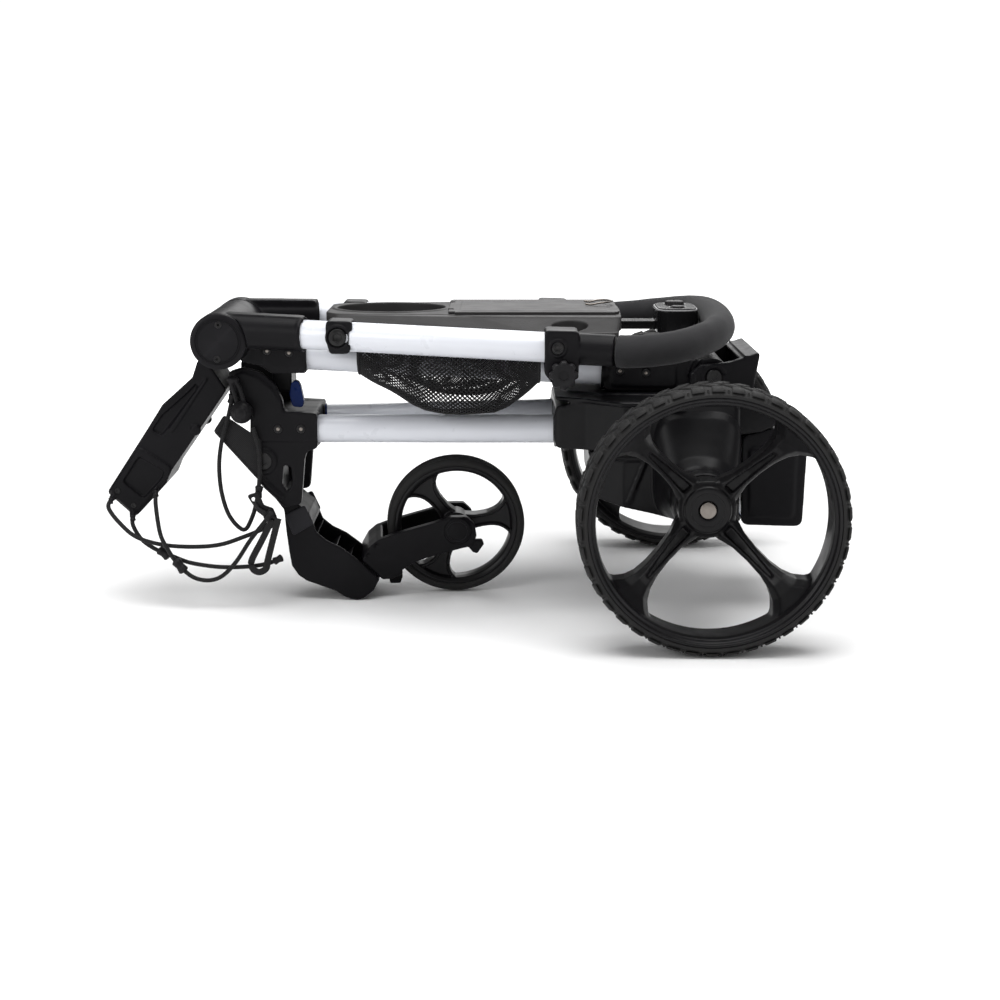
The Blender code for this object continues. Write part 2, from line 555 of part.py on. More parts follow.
def rear_clamp():
    """The rear clamps end in short sockets, from which the foam grip starts."""
    at = along(HANDLE_A, HANDLE_B, 0.116).y
    pair = clamp_pair("rear_clamp", [(0.097, 0.3490), (0.1352, 0.3480), (0.1352, 0.3000), (0.126, 0.2850),
                                     (0.109, 0.2850), (0.097, 0.3000)], at,
                      0.024, 0.023, ((0.103, -at, 0.3100), (0.130, at, 0.3230)))
    sockets = []
    for label, side in SIDES:
        start, end = along(HANDLE_A, HANDLE_B, 0.1300), along(HANDLE_A, HANDLE_B, 0.1762)
        sockets.append(rod(f"socket_{label}", mirrored(start, side), mirrored(end, side), 0.0179, BLACK, 20))
        rod(f"knob_{label}", (0.1180, side * (at + 0.0234), 0.3000), (0.1180, side * (at + 0.0360), 0.3000),
            0.0165, BLACK, 24, end_radius=0.0150)
    join(pair, *sockets)


def grip_route():
    """Centre line of the foam grip, one loop from the near leg to the far leg."""
    leg = [(0.1784, 0.1961, 0.3252), (0.1900, 0.1988, 0.3249), (0.218, 0.2000, 0.3265), (0.250, 0.1920, 0.3305), (0.280, 0.1640, 0.3360),
           (0.2985, 0.1200, 0.3405), (0.3060, 0.0620, 0.3430)]
    return [mirrored(p, -1) for p in leg] + [Vector((0.3075, 0.0, 0.3440))] + [mirrored(p, 1) for p in leg[::-1]]


def grip():
    wire("foam_grip", smooth_path(grip_route(), 2), 0.0185, FOAM, 3)
    pod = block("control_pod", (0.236, -0.030, 0.3260), (0.2870, 0.062, 0.3560), BLACK, 0.006)
    post = block("pod_post", (0.1843, 0.002, 0.3285), (0.240, 0.034, 0.3385), BLACK)
    pod = join(pod, post)
    cut(pod, rod("dial_bore", (0.262, 0.036, 0.3480), (0.262, 0.036, 0.36), 0.0125, sides=24),
        rod("button_bore", (0.262, -0.006, 0.3500), (0.262, -0.006, 0.36), 0.0085, sides=24))
    rod("speed_dial", (0.262, 0.036, 0.3485), (0.262, 0.036, 0.3600), 0.0120, GREY)
    rod("power_button", (0.262, -0.006, 0.3525), (0.262, -0.006, 0.3580), 0.0080, BLUE)


def console():
    flange = flat_plate("console_tray", rounded([(-0.156, -0.060), (-0.140, -0.093), (0.090, -0.147), (0.184, -0.147),
                                                 (0.184, 0.147), (0.090, 0.147), (-0.140, 0.093), (-0.156, 0.060)], 0.015),
                        0.3280, 0.3400)
    deck = flat_plate("deck", rounded([(-0.160, -0.050), (-0.146, -0.070), (-0.020, -0.074), (0.020, -0.100),
                                       (0.188, -0.112), (0.192, 0.0), (0.188, 0.112), (0.020, 0.100),
                                       (-0.020, 0.074), (-0.146, 0.070), (-0.160, 0.050)], 0.012), 0.3390, 0.3545)
    tray = join(flange, deck)
    mouth = [(-0.085 + 0.0655 * cos(t * tau / 28), 0.0575 * sin(t * tau / 28)) for t in range(28)]
    pocket = [(0.127 + 0.021 * cos(t * tau / 16), -0.127 + 0.013 * sin(t * tau / 16)) for t in range(16)]
    twin = [(x, -y) for x, y in pocket]
    well = block("well", (0.006, -0.070, 0.3330), (0.176, 0.070, 0.3700))
    cut(tray, flat_plate("mouth", mouth, 0.30, 0.38, group=cutters), flat_plate("pocket", pocket, 0.30, 0.38, group=cutters),
        flat_plate("twin", twin, 0.30, 0.38, group=cutters), well)
    flat_plate("console_lid", rounded([(-0.014, -0.082), (0.182, -0.082), (0.188, -0.070), (0.188, 0.078),
                                       (-0.014, 0.078)], 0.006), 0.3549, 0.3580, GREY)
    wire("card_clip", smooth_path([(0.150, -0.010, 0.3601), (0.158, -0.010, 0.3596), (0.168, -0.010, 0.3615),
                                   (0.178, -0.004, 0.3620), (0.1835, 0.010, 0.3619), (0.178, 0.024, 0.3620),
                                   (0.168, 0.030, 0.3615), (0.158, 0.030, 0.3596), (0.150, 0.030, 0.3601)], 2),
         0.0011, STEEL, 2)


def net_basket():
    """Loose net hung between the handle tubes and draped over the middle tubes."""
    stations = ((-0.117, 0.288), (-0.080, 0.264), (-0.040, 0.2430), (0.000, 0.2390), (0.040, 0.2410),
                (0.068, 0.258), (0.092, 0.280))
    bm = bmesh.new()
    rows = []
    for x, low in stations:
        tube_y = along(MIDDLE_A, MIDDLE_B, x).y
        tube_z = along(MIDDLE_A, MIDDLE_B, x).z
        rim_y = along(HANDLE_A, HANDLE_B, x).y - 0.026
        over = tube_z + TUBE_R + 0.0035
        half = [(rim_y, 0.327), (rim_y - 0.004, 0.5 * (0.327 + low)), (rim_y - 0.014, low + 0.004),
                (tube_y + 0.034, low), (tube_y + 0.0235, low + 0.008), (tube_y + 0.0215, tube_z),
                (tube_y + 0.014, over - 0.002), (tube_y, over), (tube_y - 0.012, over + 0.0005), (0.0, over + 0.0008)]
        row = [(x, -y, z) for y, z in half] + [(x, y, z) for y, z in half[-2::-1]]
        rows.append([bm.verts.new(co) for co in row])
    for a, b in zip(rows, rows[1:]):
        for i in range(len(a) - 1):
            bm.faces.new((a[i], a[i + 1], b[i + 1], b[i]))
    bmesh.ops.recalc_face_normals(bm, faces=bm.faces)
    mesh = bpy.data.meshes.new("net_basket")
    bm.to_mesh(mesh)
    bm.free()
    obj = add("net_basket", mesh, NET)
    shell = obj.modifiers.new("cloth", "SOLIDIFY")
    shell.thickness = 0.0016
    shell.offset = 0.0
    flatten(obj)


# ---------------------------------------------------------------- bag cradle and its cords
CORD_R = 0.0026

# The elastic cords hang in loops from the cradle's end to the hooks beside the front casting.
CORDS = {
    "cord_outer": [(-0.4255, -0.0475, 0.1270), (-0.4275, -0.0540, 0.1170), (-0.4130, -0.0620, 0.1000),
                   (-0.3920, -0.0680, 0.0840), (-0.3600, -0.0720, 0.0755), (-0.3220, -0.0740, 0.0735),
                   (-0.2900, -0.0750, 0.0765), (-0.2620, -0.0760, 0.0860), (-0.2370, -0.0770, 0.0965),
                   (-0.2220, -0.0775, 0.1050)],
    "cord_lower": [(-0.4000, -0.0475, 0.1060), (-0.3990, -0.0520, 0.0950), (-0.3880, -0.0580, 0.0790),
                   (-0.3700, -0.0640, 0.0680), (-0.3470, -0.0700, 0.0600), (-0.3260, -0.0740, 0.0535),
                   (-0.2920, -0.0800, 0.0500), (-0.2580, -0.0830, 0.0510), (-0.2330, -0.0840, 0.0550),
                   (-0.2160, -0.0840, 0.0620)],
    "cord_long": [(-0.3710, -0.0475, 0.1370), (-0.3690, -0.0600, 0.1200), (-0.3620, -0.0760, 0.0900),
                  (-0.3530, -0.0800, 0.0720), (-0.3430, -0.0800, 0.0560), (-0.3250, -0.0850, 0.0400),
                  (-0.3060, -0.0870, 0.0350), (-0.2880, -0.0880, 0.0400), (-0.2700, -0.0890, 0.0580),
                  (-0.2520, -0.0895, 0.0850), (-0.2340, -0.0895, 0.1080), (-0.2250, -0.0895, 0.1200)],
    "cord_loop": [(-0.2715, -0.0680, 0.2560), (-0.2770, -0.0690, 0.2320), (-0.2860, -0.0700, 0.2000),
                  (-0.2895, -0.0705, 0.1700), (-0.2870, -0.0710, 0.1380), (-0.2780, -0.0715, 0.1100),
                  (-0.2620, -0.0715, 0.0940), (-0.2520, -0.0710, 0.1080), (-0.2450, -0.0705, 0.1320),
                  (-0.2410, -0.0700, 0.1650), (-0.2420, -0.0700, 0.1950), (-0.2480, -0.0700, 0.2180)],
}


def bag_cradle():
    arm = [(-0.3005, 0.2880), (-0.3020, 0.2975), (-0.3100, 0.2995), (-0.3165, 0.2940), (-0.323, 0.275),
           (-0.342, 0.258), (-0.360, 0.242), (-0.380, 0.211), (-0.4308, 0.1345), (-0.398, 0.1040), (-0.392, 0.109), (-0.358, 0.146), (-0.351, 0.162), (-0.282, 0.2600)]
    cradle = side_plate("bag_cradle", rounded(arm, 0.003), -0.044, 0.044)
    pocket = side_plate("pocket", [(-0.372, 0.206), (-0.345, 0.187), (-0.415, 0.090), (-0.445, 0.125)],
                        -0.038, 0.038, group=cutters)
    notch = block("notch", (-0.3150, -0.0303, 0.2840), (-0.2800, 0.0303, 0.3100))
    cradle = cut(cradle, pocket, notch)
    cx, cz = CRADLE_HINGE
    join(cradle, rod("cradle_pin", (cx, -0.040, cz), (cx, 0.040, cz), 0.0030, sides=16))


def cords():
    for name, route in CORDS.items():
        wire(name, smooth_path(route, 2), CORD_R, CORD, 2)


def strap_pieces():
    ball = bmesh.new()
    bmesh.ops.create_uvsphere(ball, u_segments=12, v_segments=8, radius=0.0135)
    mesh = bpy.data.meshes.new("ball_toggle")
    ball.to_mesh(mesh)
    ball.free()
    mesh.transform(Matrix.Translation((-0.2600, -0.0780, 0.2380)))
    toggle = add("ball_toggle", mesh, GREY)
    neck = rod("neck", (-0.2600, -0.0760, 0.2380), (-0.2700, -0.0720, 0.2760), 0.0050, GREY, 12)
    join(toggle, neck)
    side_plate("strap_tab", [(-0.2830, 0.2330), (-0.2960, 0.2130), (-0.2390, 0.1480), (-0.2390, 0.2030)],
               -0.0648, -0.0632, NET)


def latch():
    """Blue lever that locks the middle layer to the front casting."""
    side_plate("latch_lever", rounded([(-0.2030, 0.2400), (-0.2060, 0.2550), (-0.2035, 0.2700), (-0.1960, 0.2720),
                                       (-0.1925, 0.2650), (-0.1890, 0.2480), (-0.1900, 0.2390)], 0.003),
               -0.0470, -0.0330, BLUE)


def main():
    frame_tubes()
    front_casting()
    front_arm()
    caster()
    rear_housing()
    drive()
    battery()
    for label, side in SIDES:
        rear_wheel(label, side)
    middle_layer()
    handle_layer()
    grip()
    console()
    net_basket()
    bag_cradle()
    cords()
    strap_pieces()
    latch()


main()
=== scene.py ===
"""Looks of the folded electric golf trolley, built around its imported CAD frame.

Units are metres in the frame's own axes: +Z up, +X towards the rear wheels, +Y away from the camera.
Each visible piece is a finely meshed, softly rounded solid that stands for one or more CAD nodes.
"""

import math
from math import cos, radians, sin, tau

import bmesh
import bpy
from mathutils import Matrix, Vector, noise


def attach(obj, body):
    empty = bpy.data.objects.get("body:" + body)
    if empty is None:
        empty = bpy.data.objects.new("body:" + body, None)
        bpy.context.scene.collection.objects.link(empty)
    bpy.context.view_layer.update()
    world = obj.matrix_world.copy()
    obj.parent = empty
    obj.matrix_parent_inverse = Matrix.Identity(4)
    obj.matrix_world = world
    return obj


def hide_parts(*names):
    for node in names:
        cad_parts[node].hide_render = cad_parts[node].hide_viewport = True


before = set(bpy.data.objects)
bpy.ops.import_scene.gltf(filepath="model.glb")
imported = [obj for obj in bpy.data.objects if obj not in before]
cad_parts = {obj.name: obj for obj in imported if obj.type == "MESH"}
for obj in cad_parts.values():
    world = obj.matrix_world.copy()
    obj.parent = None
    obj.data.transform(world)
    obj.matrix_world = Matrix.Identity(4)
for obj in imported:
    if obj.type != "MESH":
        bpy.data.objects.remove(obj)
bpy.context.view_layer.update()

# ---------------------------------------------------------------- driving dimensions, as in the CAD
TUBE_R = 0.0170
AXLE_X, AXLE_Z = 0.280, 0.150
WHEEL_R = 0.150
WHEEL_OUT = 0.3075
TYRE_W = 0.065
HUB_OUT = 0.227
AXLE_R = 0.0095
UPPER_HINGE = (-0.281, 0.3255)
CRADLE_HINGE = (-0.3065, 0.2933)
REAR_HINGE = (0.300, 0.280)
ARM_PIVOT = (-0.237, 0.176)
CROWN = Vector((-0.1135, 0.0, 0.0375))
SWIVEL_AXIS = Vector((1.0, 0.0, 1.0)).normalized()
SWIVEL_ANGLE = radians(6)
CASTER_AXLE = (-0.008, 0.0870)
CASTER_R = 0.085
CASTER_W = 0.028
LOWER_A, LOWER_B = Vector((-0.232, 0.036, 0.2119)), Vector((0.150, 0.069, 0.2171))
MIDDLE_A, MIDDLE_B = Vector((-0.215, 0.0352, 0.3022)), Vector((0.205, 0.0459, 0.2818))
HANDLE_A, HANDLE_B = Vector((-0.215, 0.1033, 0.3354)), Vector((0.176, 0.1955, 0.3253))
CHEEK_IN, CHEEK_OUT = 0.048, 0.062
ARM_HALF = 0.045
KNUCKLE_HALF, DISC_OUT = 0.0705, 0.1065
SIDES = (("near", -1), ("far", 1))


# ---------------------------------------------------------------- camera, light and floor
CAMERA_AT = (0.049, -2.305, 0.5765)
CAMERA_DOWN = radians(11.29)            # how far it looks down
CAMERA_TURN = radians(0.05)
CAMERA_LENS, CAMERA_SENSOR = 68.22, 36.0    # millimetres


def set_camera():
    """A long lens at the side of the trolley, a little above it."""
    data = bpy.data.cameras.new("camera")
    data.lens = CAMERA_LENS
    data.sensor_width = CAMERA_SENSOR
    camera = bpy.data.objects.new("camera", data)
    camera.location = CAMERA_AT
    camera.rotation_euler = (radians(90) - CAMERA_DOWN, 0.0, CAMERA_TURN)
    bpy.context.scene.collection.objects.link(camera)
    bpy.context.scene.camera = camera


def area_light(name, place, aim, size, power, size_y=None):
    """A square or oblong soft light at place, turned towards aim."""
    data = bpy.data.lights.new(name, "AREA")
    data.energy = power
    data.size = size
    if size_y:
        data.shape = "RECTANGLE"
        data.size_y = size_y
    lamp = bpy.data.objects.new(name, data)
    lamp.location = place
    lamp.rotation_euler = (Vector(aim) - Vector(place)).to_track_quat("-Z", "Y").to_euler()
    bpy.context.scene.collection.objects.link(lamp)


def set_stage():
    """White sky, four soft lights and a pale floor that fades into the sky."""
    scene = bpy.context.scene
    world = scene.world or bpy.data.worlds.new("studio")
    scene.world = world
    world.use_nodes = True
    tree = world.node_tree
    sky = tree.nodes["Background"]
    sky.inputs["Color"].default_value = (1.0, 1.0, 1.0, 1.0)
    path = tree.nodes.new("ShaderNodeLightPath")
    level = tree.nodes.new("ShaderNodeMapRange")      # the backdrop is bright, its fill light is soft
    level.inputs["To Min"].default_value = 0.26
    level.inputs["To Max"].default_value = 1.05
    tree.links.new(path.outputs["Is Camera Ray"], level.inputs["Value"])
    tree.links.new(level.outputs["Result"], sky.inputs["Strength"])
    scene.view_settings.view_transform = "Standard"
    scene.view_settings.look = "None"
    area_light("overhead", (0.1, -0.3, 2.6), (0.0, 0.0, 0.1), 2.6, 92)
    area_light("front_left", (-2.2, -2.4, 1.5), (0.0, 0.0, 0.2), 1.6, 34)
    area_light("front_right", (2.4, -1.8, 1.3), (0.1, 0.0, 0.2), 1.4, 12)
    area_light("behind", (0.4, 2.6, 1.7), (0.0, 0.0, 0.2), 2.0, 26)
    mesh = bpy.data.meshes.new("floor")
    bm = bmesh.new()
    bmesh.ops.create_grid(bm, x_segments=1, y_segments=1, size=14.0)
    bm.to_mesh(mesh)
    bm.free()
    floor = bpy.data.objects.new("floor", mesh)
    floor.location.z = -0.0005
    scene.collection.objects.link(floor)
    mat, _, shader = new_material("studio_floor", (0.93, 0.93, 0.93), 0.75)
    shader.inputs["Specular IOR Level"].default_value = 0.15
    tree = mat.node_tree
    coords = tree.nodes.new("ShaderNodeTexCoord")
    reach = tree.nodes.new("ShaderNodeVectorMath")
    reach.operation = "LENGTH"
    tree.links.new(coords.outputs["Object"], reach.inputs[0])
    fade = tree.nodes.new("ShaderNodeMapRange")       # the sweep glows white away from the trolley
    fade.inputs["From Min"].default_value = 0.75
    fade.inputs["From Max"].default_value = 2.4
    tree.links.new(reach.outputs["Value"], fade.inputs["Value"])
    shader.inputs["Emission Color"].default_value = (1.0, 1.0, 1.0, 1.0)
    tree.links.new(fade.outputs["Result"], shader.inputs["Emission Strength"])
    mesh.materials.append(mat)


# ---------------------------------------------------------------- materials
def new_material(name, colour, roughness, metallic=0.0):
    """A material with its node tree and its Principled shader."""
    mat = bpy.data.materials.new(name)
    mat.use_nodes = True
    tree = mat.node_tree
    shader = tree.nodes["Principled BSDF"]
    shader.inputs["Base Color"].default_value = (*colour, 1.0)
    shader.inputs["Roughness"].default_value = roughness
    shader.inputs["Metallic"].default_value = metallic
    return mat, tree, shader


def add_noise(tree, scale, detail=2.0, roughness=0.5):
    """A noise texture in the object's own coordinates."""
    coords = tree.nodes.new("ShaderNodeTexCoord")
    node = tree.nodes.new("ShaderNodeTexNoise")
    node.inputs["Scale"].default_value = scale
    node.inputs["Detail"].default_value = detail
    node.inputs["Roughness"].default_value = roughness
    tree.links.new(coords.outputs["Object"], node.inputs["Vector"])
    return node


def add_ramp(tree, source, low, high, low_value, high_value):
    """Maps a 0 to 1 source onto two colours or two values between the stops low and high."""
    ramp = tree.nodes.new("ShaderNodeValToRGB")
    ramp.color_ramp.elements[0].position = low
    ramp.color_ramp.elements[1].position = high
    for element, value in zip(ramp.color_ramp.elements, (low_value, high_value)):
        element.color = (*value, 1.0) if hasattr(value, "__len__") else (value, value, value, 1.0)
    tree.links.new(source, ramp.inputs["Fac"])
    return ramp.outputs["Color"]


def add_bump(tree, shader, heights):
    """Chains bump nodes; heights is a list of (height output, strength, distance)."""
    normal = None
    for height, strength, distance in heights:
        bump = tree.nodes.new("ShaderNodeBump")
        bump.inputs["Strength"].default_value = strength
        bump.inputs["Distance"].default_value = distance
        tree.links.new(height, bump.inputs["Height"])
        if normal:
            tree.links.new(normal, bump.inputs["Normal"])
        normal = bump.outputs["Normal"]
    tree.links.new(normal, shader.inputs["Normal"])


def add_mix(tree, factor, first, second):
    """Mixes two colours, each an output socket or a fixed colour, by a factor output."""
    mix = tree.nodes.new("ShaderNodeMix")
    mix.data_type = "RGBA"
    tree.links.new(factor, mix.inputs["Factor"])
    for socket, value in ((mix.inputs[6], first), (mix.inputs[7], second)):
        if hasattr(value, "is_output"):
            tree.links.new(value, socket)
        else:
            socket.default_value = (*value, 1.0)
    return mix.outputs[2]


def vary(tree, source, socket, low, high, stops=(0.3, 0.7)):
    """Lets a 0 to 1 source move a socket between two colours or two values."""
    tree.links.new(add_ramp(tree, source, *stops, low, high), socket)


def plastic(name, dark, light, roughness, grain=900.0, grain_depth=0.00012, edge_highlight=0.35, gloss=0.10):
    """Moulded plastic: slight mottling, fine spark-eroded grain, a painted highlight that makes convex
    edges paler, and faint scuffs.
    """
    mat, tree, shader = new_material(name, dark, roughness[0])
    cloud = add_noise(tree, 11.0, 4.0)
    colour = add_ramp(tree, cloud.outputs["Fac"], 0.35, 0.68, dark, light)
    # painted highlight: convex edges, picked out by pointiness, are mixed towards a paler colour
    point = tree.nodes.new("ShaderNodeNewGeometry")
    edge = add_ramp(tree, point.outputs["Pointiness"], 0.515, 0.60, 0.0, edge_highlight)
    edge_highlight_colour = tuple(min(1.0, 2.2 * c + 0.008) for c in light)
    colour = add_mix(tree, edge, colour, edge_highlight_colour)
    tree.links.new(colour, shader.inputs["Base Color"])
    smudge = add_noise(tree, 38.0, 5.0, 0.62)
    vary(tree, smudge.outputs["Fac"], shader.inputs["Roughness"], *roughness, stops=(0.3, 0.75))
    fine = add_noise(tree, grain, 1.0)
    ripple = add_noise(tree, 60.0, 2.0)
    add_bump(tree, shader, [(fine.outputs["Fac"], 0.35, grain_depth),
                            (ripple.outputs["Fac"], 0.06, 0.0006)])
    shader.inputs["Specular IOR Level"].default_value = gloss
    return mat


def white_paint():
    """Gloss white powder coat with a faint orange peel."""
    mat, tree, shader = new_material("gloss_white", (0.80, 0.81, 0.835), 0.26)
    cloud = add_noise(tree, 9.0, 3.0)
    vary(tree, cloud.outputs["Fac"], shader.inputs["Base Color"],
         (0.625, 0.640, 0.685), (0.640, 0.655, 0.700))
    smudge = add_noise(tree, 45.0, 4.0)
    vary(tree, smudge.outputs["Fac"], shader.inputs["Roughness"], 0.27, 0.30)
    peel = add_noise(tree, 420.0, 1.0)
    add_bump(tree, shader, [(peel.outputs["Fac"], 0.04, 0.00002)])
    shader.inputs["Coat Weight"].default_value = 0.3
    shader.inputs["Coat Roughness"].default_value = 0.12
    return mat


def rubber():
    """Dusty tyre rubber."""
    mat, tree, shader = new_material("rubber", (0.030, 0.029, 0.028), 0.7)
    cloud = add_noise(tree, 30.0, 5.0, 0.6)
    vary(tree, cloud.outputs["Fac"], shader.inputs["Base Color"],
         (0.0075, 0.0073, 0.0074), (0.0150, 0.0145, 0.0145), stops=(0.3, 0.75))
    vary(tree, cloud.outputs["Fac"], shader.inputs["Roughness"], 0.58, 0.80, stops=(0.3, 0.75))
    fine = add_noise(tree, 700.0, 2.0)
    add_bump(tree, shader, [(fine.outputs["Fac"], 0.4, 0.0002)])
    shader.inputs["Specular IOR Level"].default_value = 0.25
    return mat


def grip_foam():
    """Closed-cell foam with small pores."""
    mat, tree, shader = new_material("foam", (0.038, 0.037, 0.037), 0.78)
    cloud = add_noise(tree, 24.0, 4.0)
    vary(tree, cloud.outputs["Fac"], shader.inputs["Base Color"],
         (0.0100, 0.0098, 0.0110), (0.0170, 0.0166, 0.0180))
    coords = tree.nodes.new("ShaderNodeTexCoord")
    pores = tree.nodes.new("ShaderNodeTexVoronoi")
    pores.inputs["Scale"].default_value = 1100.0
    tree.links.new(coords.outputs["Object"], pores.inputs["Vector"])
    swell = add_noise(tree, 130.0, 3.0)
    add_bump(tree, shader, [(pores.outputs["Distance"], 0.5, 0.00035),
                            (swell.outputs["Fac"], 0.12, 0.0008)])
    shader.inputs["Sheen Weight"].default_value = 0.06
    shader.inputs["Sheen Roughness"].default_value = 0.5
    shader.inputs["Specular IOR Level"].default_value = 0.22
    return mat


def turned_steel():
    """Bare steel, slightly warm, with a fine machined texture."""
    mat, tree, shader = new_material("turned_steel", (0.56, 0.53, 0.50), 0.30, 1.0)
    cloud = add_noise(tree, 160.0, 4.0)
    vary(tree, cloud.outputs["Fac"], shader.inputs["Base Color"],
         (0.170, 0.150, 0.135), (0.240, 0.218, 0.198))
    vary(tree, cloud.outputs["Fac"], shader.inputs["Roughness"], 0.24, 0.42)
    fine = add_noise(tree, 1500.0, 1.0)
    add_bump(tree, shader, [(fine.outputs["Fac"], 0.3, 0.00005)])
    return mat


def dark_bolt():
    """Blackened steel of the bolt heads."""
    mat, tree, shader = new_material("dark_bolt", (0.035, 0.035, 0.037), 0.34, 0.6)
    cloud = add_noise(tree, 220.0, 4.0)
    vary(tree, cloud.outputs["Fac"], shader.inputs["Base Color"],
         (0.0060, 0.0060, 0.0068), (0.0150, 0.0145, 0.0145))
    fine = add_noise(tree, 1500.0, 1.0)
    add_bump(tree, shader, [(fine.outputs["Fac"], 0.3, 0.00005)])
    return mat


def net_yarn():
    """Twisted yarn of the knitted net."""
    mat, tree, shader = new_material("net_yarn", (0.020, 0.020, 0.021), 0.72)
    twist = add_noise(tree, 1400.0, 2.0)
    vary(tree, twist.outputs["Fac"], shader.inputs["Base Color"],
         (0.0050, 0.0050, 0.0055), (0.0150, 0.0145, 0.0155))
    add_bump(tree, shader, [(twist.outputs["Fac"], 0.5, 0.0002)])
    shader.inputs["Sheen Weight"].default_value = 0.05
    shader.inputs["Specular IOR Level"].default_value = 0.2
    return mat


def braided_cord():
    """Braided cover of the elastic cords."""
    mat, tree, shader = new_material("braided_cord", (0.022, 0.022, 0.023), 0.62)
    coords = tree.nodes.new("ShaderNodeTexCoord")
    braid = tree.nodes.new("ShaderNodeTexVoronoi")
    braid.inputs["Scale"].default_value = 780.0
    tree.links.new(coords.outputs["Object"], braid.inputs["Vector"])
    vary(tree, braid.outputs["Distance"], shader.inputs["Base Color"],
         (0.0150, 0.0145, 0.0155), (0.0040, 0.0040, 0.0044), stops=(0.1, 0.7))
    add_bump(tree, shader, [(braid.outputs["Distance"], 0.8, -0.0005)])
    shader.inputs["Sheen Weight"].default_value = 0.05
    shader.inputs["Specular IOR Level"].default_value = 0.2
    return mat


def woven_webbing():
    """Flat woven webbing with diagonal ribs."""
    mat, tree, shader = new_material("webbing", (0.020, 0.020, 0.021), 0.7)
    coords = tree.nodes.new("ShaderNodeTexCoord")
    weave = tree.nodes.new("ShaderNodeTexWave")
    weave.inputs["Scale"].default_value = 260.0
    weave.bands_direction = "DIAGONAL"
    weave.inputs["Distortion"].default_value = 1.5
    tree.links.new(coords.outputs["Object"], weave.inputs["Vector"])
    vary(tree, weave.outputs["Fac"], shader.inputs["Base Color"],
         (0.0060, 0.0060, 0.0065), (0.0160, 0.0155, 0.0165), stops=(0.2, 0.8))
    add_bump(tree, shader, [(weave.outputs["Fac"], 0.6, 0.0004)])
    shader.inputs["Specular IOR Level"].default_value = 0.2
    return mat


def make_materials():
    """Every material, by the short name that the pieces use."""
    m = {}
    m["black"] = plastic("satin_black", (0.0034, 0.0032, 0.0040), (0.0058, 0.0055, 0.0066), (0.34, 0.48))
    m["deep"] = plastic("deep_black", (0.0030, 0.0029, 0.0034), (0.0048, 0.0046, 0.0052), (0.46, 0.60),
                        gloss=0.07)
    # the wheel plastic gets a stronger painted edge highlight
    m["wheel"] = plastic("wheel_black", (0.0038, 0.0036, 0.0042), (0.0064, 0.0061, 0.0068), (0.28, 0.42),
                         edge_highlight=0.5, gloss=0.18)
    m["housing"] = plastic("housing_black", (0.0028, 0.0027, 0.0034), (0.0046, 0.0044, 0.0052),
                           (0.28, 0.40), gloss=0.15)
    m["console"] = plastic("console_grain", (0.022, 0.0212, 0.0214), (0.030, 0.0289, 0.0292), (0.48, 0.60),
                           420.0, 0.0003, gloss=0.20)
    m["lid"] = plastic("lid_grain", (0.034, 0.0325, 0.0328), (0.044, 0.042, 0.0424), (0.46, 0.56),
                       420.0, 0.00025, gloss=0.20)
    m["band"] = plastic("band_grey", (0.0130, 0.0128, 0.0155), (0.0180, 0.0176, 0.0205), (0.34, 0.42),
                        900.0, 0.00006)
    m["blue"] = plastic("lever_blue", (0.0012, 0.0075, 0.047), (0.0018, 0.0105, 0.064), (0.30, 0.42),
                        900.0, 0.00006)
    m["toggle"] = plastic("toggle_black", (0.0090, 0.0088, 0.0096), (0.0140, 0.0135, 0.0145), (0.30, 0.42))
    m["pod"] = plastic("pod_gloss", (0.0050, 0.0050, 0.0054), (0.0075, 0.0075, 0.0080), (0.12, 0.22),
                       900.0, 0.00003)
    m["pod_rim"] = plastic("pod_rim_grey", (0.20, 0.20, 0.205), (0.25, 0.25, 0.255), (0.30, 0.40),
                           900.0, 0.00005)
    m["white"] = white_paint()
    m["rubber"] = rubber()
    m["foam"] = grip_foam()
    m["steel"] = turned_steel()
    m["bolt"] = dark_bolt()
    m["net"] = net_yarn()
    m["cord"] = braided_cord()
    m["webbing"] = woven_webbing()
    return m


# ---------------------------------------------------------------- mesh helpers
def link(name, mesh, mat=None):
    obj = bpy.data.objects.new(name, mesh)
    bpy.context.scene.collection.objects.link(obj)
    if mat:
        mesh.materials.clear()
        mesh.materials.append(mat)
    return obj


def from_bmesh(name, bm, mat=None, smooth=False):
    bmesh.ops.recalc_face_normals(bm, faces=bm.faces)
    for face in bm.faces:
        face.smooth = smooth
    mesh = bpy.data.meshes.new(name)
    bm.to_mesh(mesh)
    bm.free()
    return link(name, mesh, mat)


def rounded(points, radius, steps=4):
    """An outline whose corners are curves; each corner is cut back if its sides are short."""
    result = []
    count = len(points)
    for i, corner in enumerate(points):
        here = Vector(corner)
        before = Vector(points[i - 1]) - here
        after = Vector(points[(i + 1) % count]) - here
        half = max(0.05, before.angle(after) / 2)
        reach = min(radius * cos(half) / sin(half), 0.48 * before.length, 0.48 * after.length)
        start, end = here + before.normalized() * reach, here + after.normalized() * reach
        for k in range(steps + 1):
            t = k / steps
            result.append(start * (1 - t) ** 2 + here * 2 * t * (1 - t) + end * t ** 2)
    return result


def extrude(points, a, b, place, name="solid"):
    """A closed prism: each outline point (u, v) goes to place(u, v, a) and place(u, v, b)."""
    bm = bmesh.new()
    ends = [[bm.verts.new(place(u, v, w)) for u, v in points] for w in (a, b)]
    bm.faces.new(ends[0])
    bm.faces.new(ends[1][::-1])
    for i in range(len(points)):
        j = (i + 1) % len(points)
        bm.faces.new((ends[0][i], ends[1][i], ends[1][j], ends[0][j]))
    return from_bmesh(name, bm)


def prism(points, y0, y1, radius=0.0):
    """An outline in X and Z, from y0 to y1."""
    outline = rounded(points, radius) if radius else points
    return extrude(outline, y0, y1, lambda u, v, w: (u, w, v))


def slab(points, z0, z1, radius=0.0):
    """An outline in X and Y, from z0 to z1."""
    outline = rounded(points, radius) if radius else points
    return extrude(outline, z0, z1, lambda u, v, w: (u, v, w))


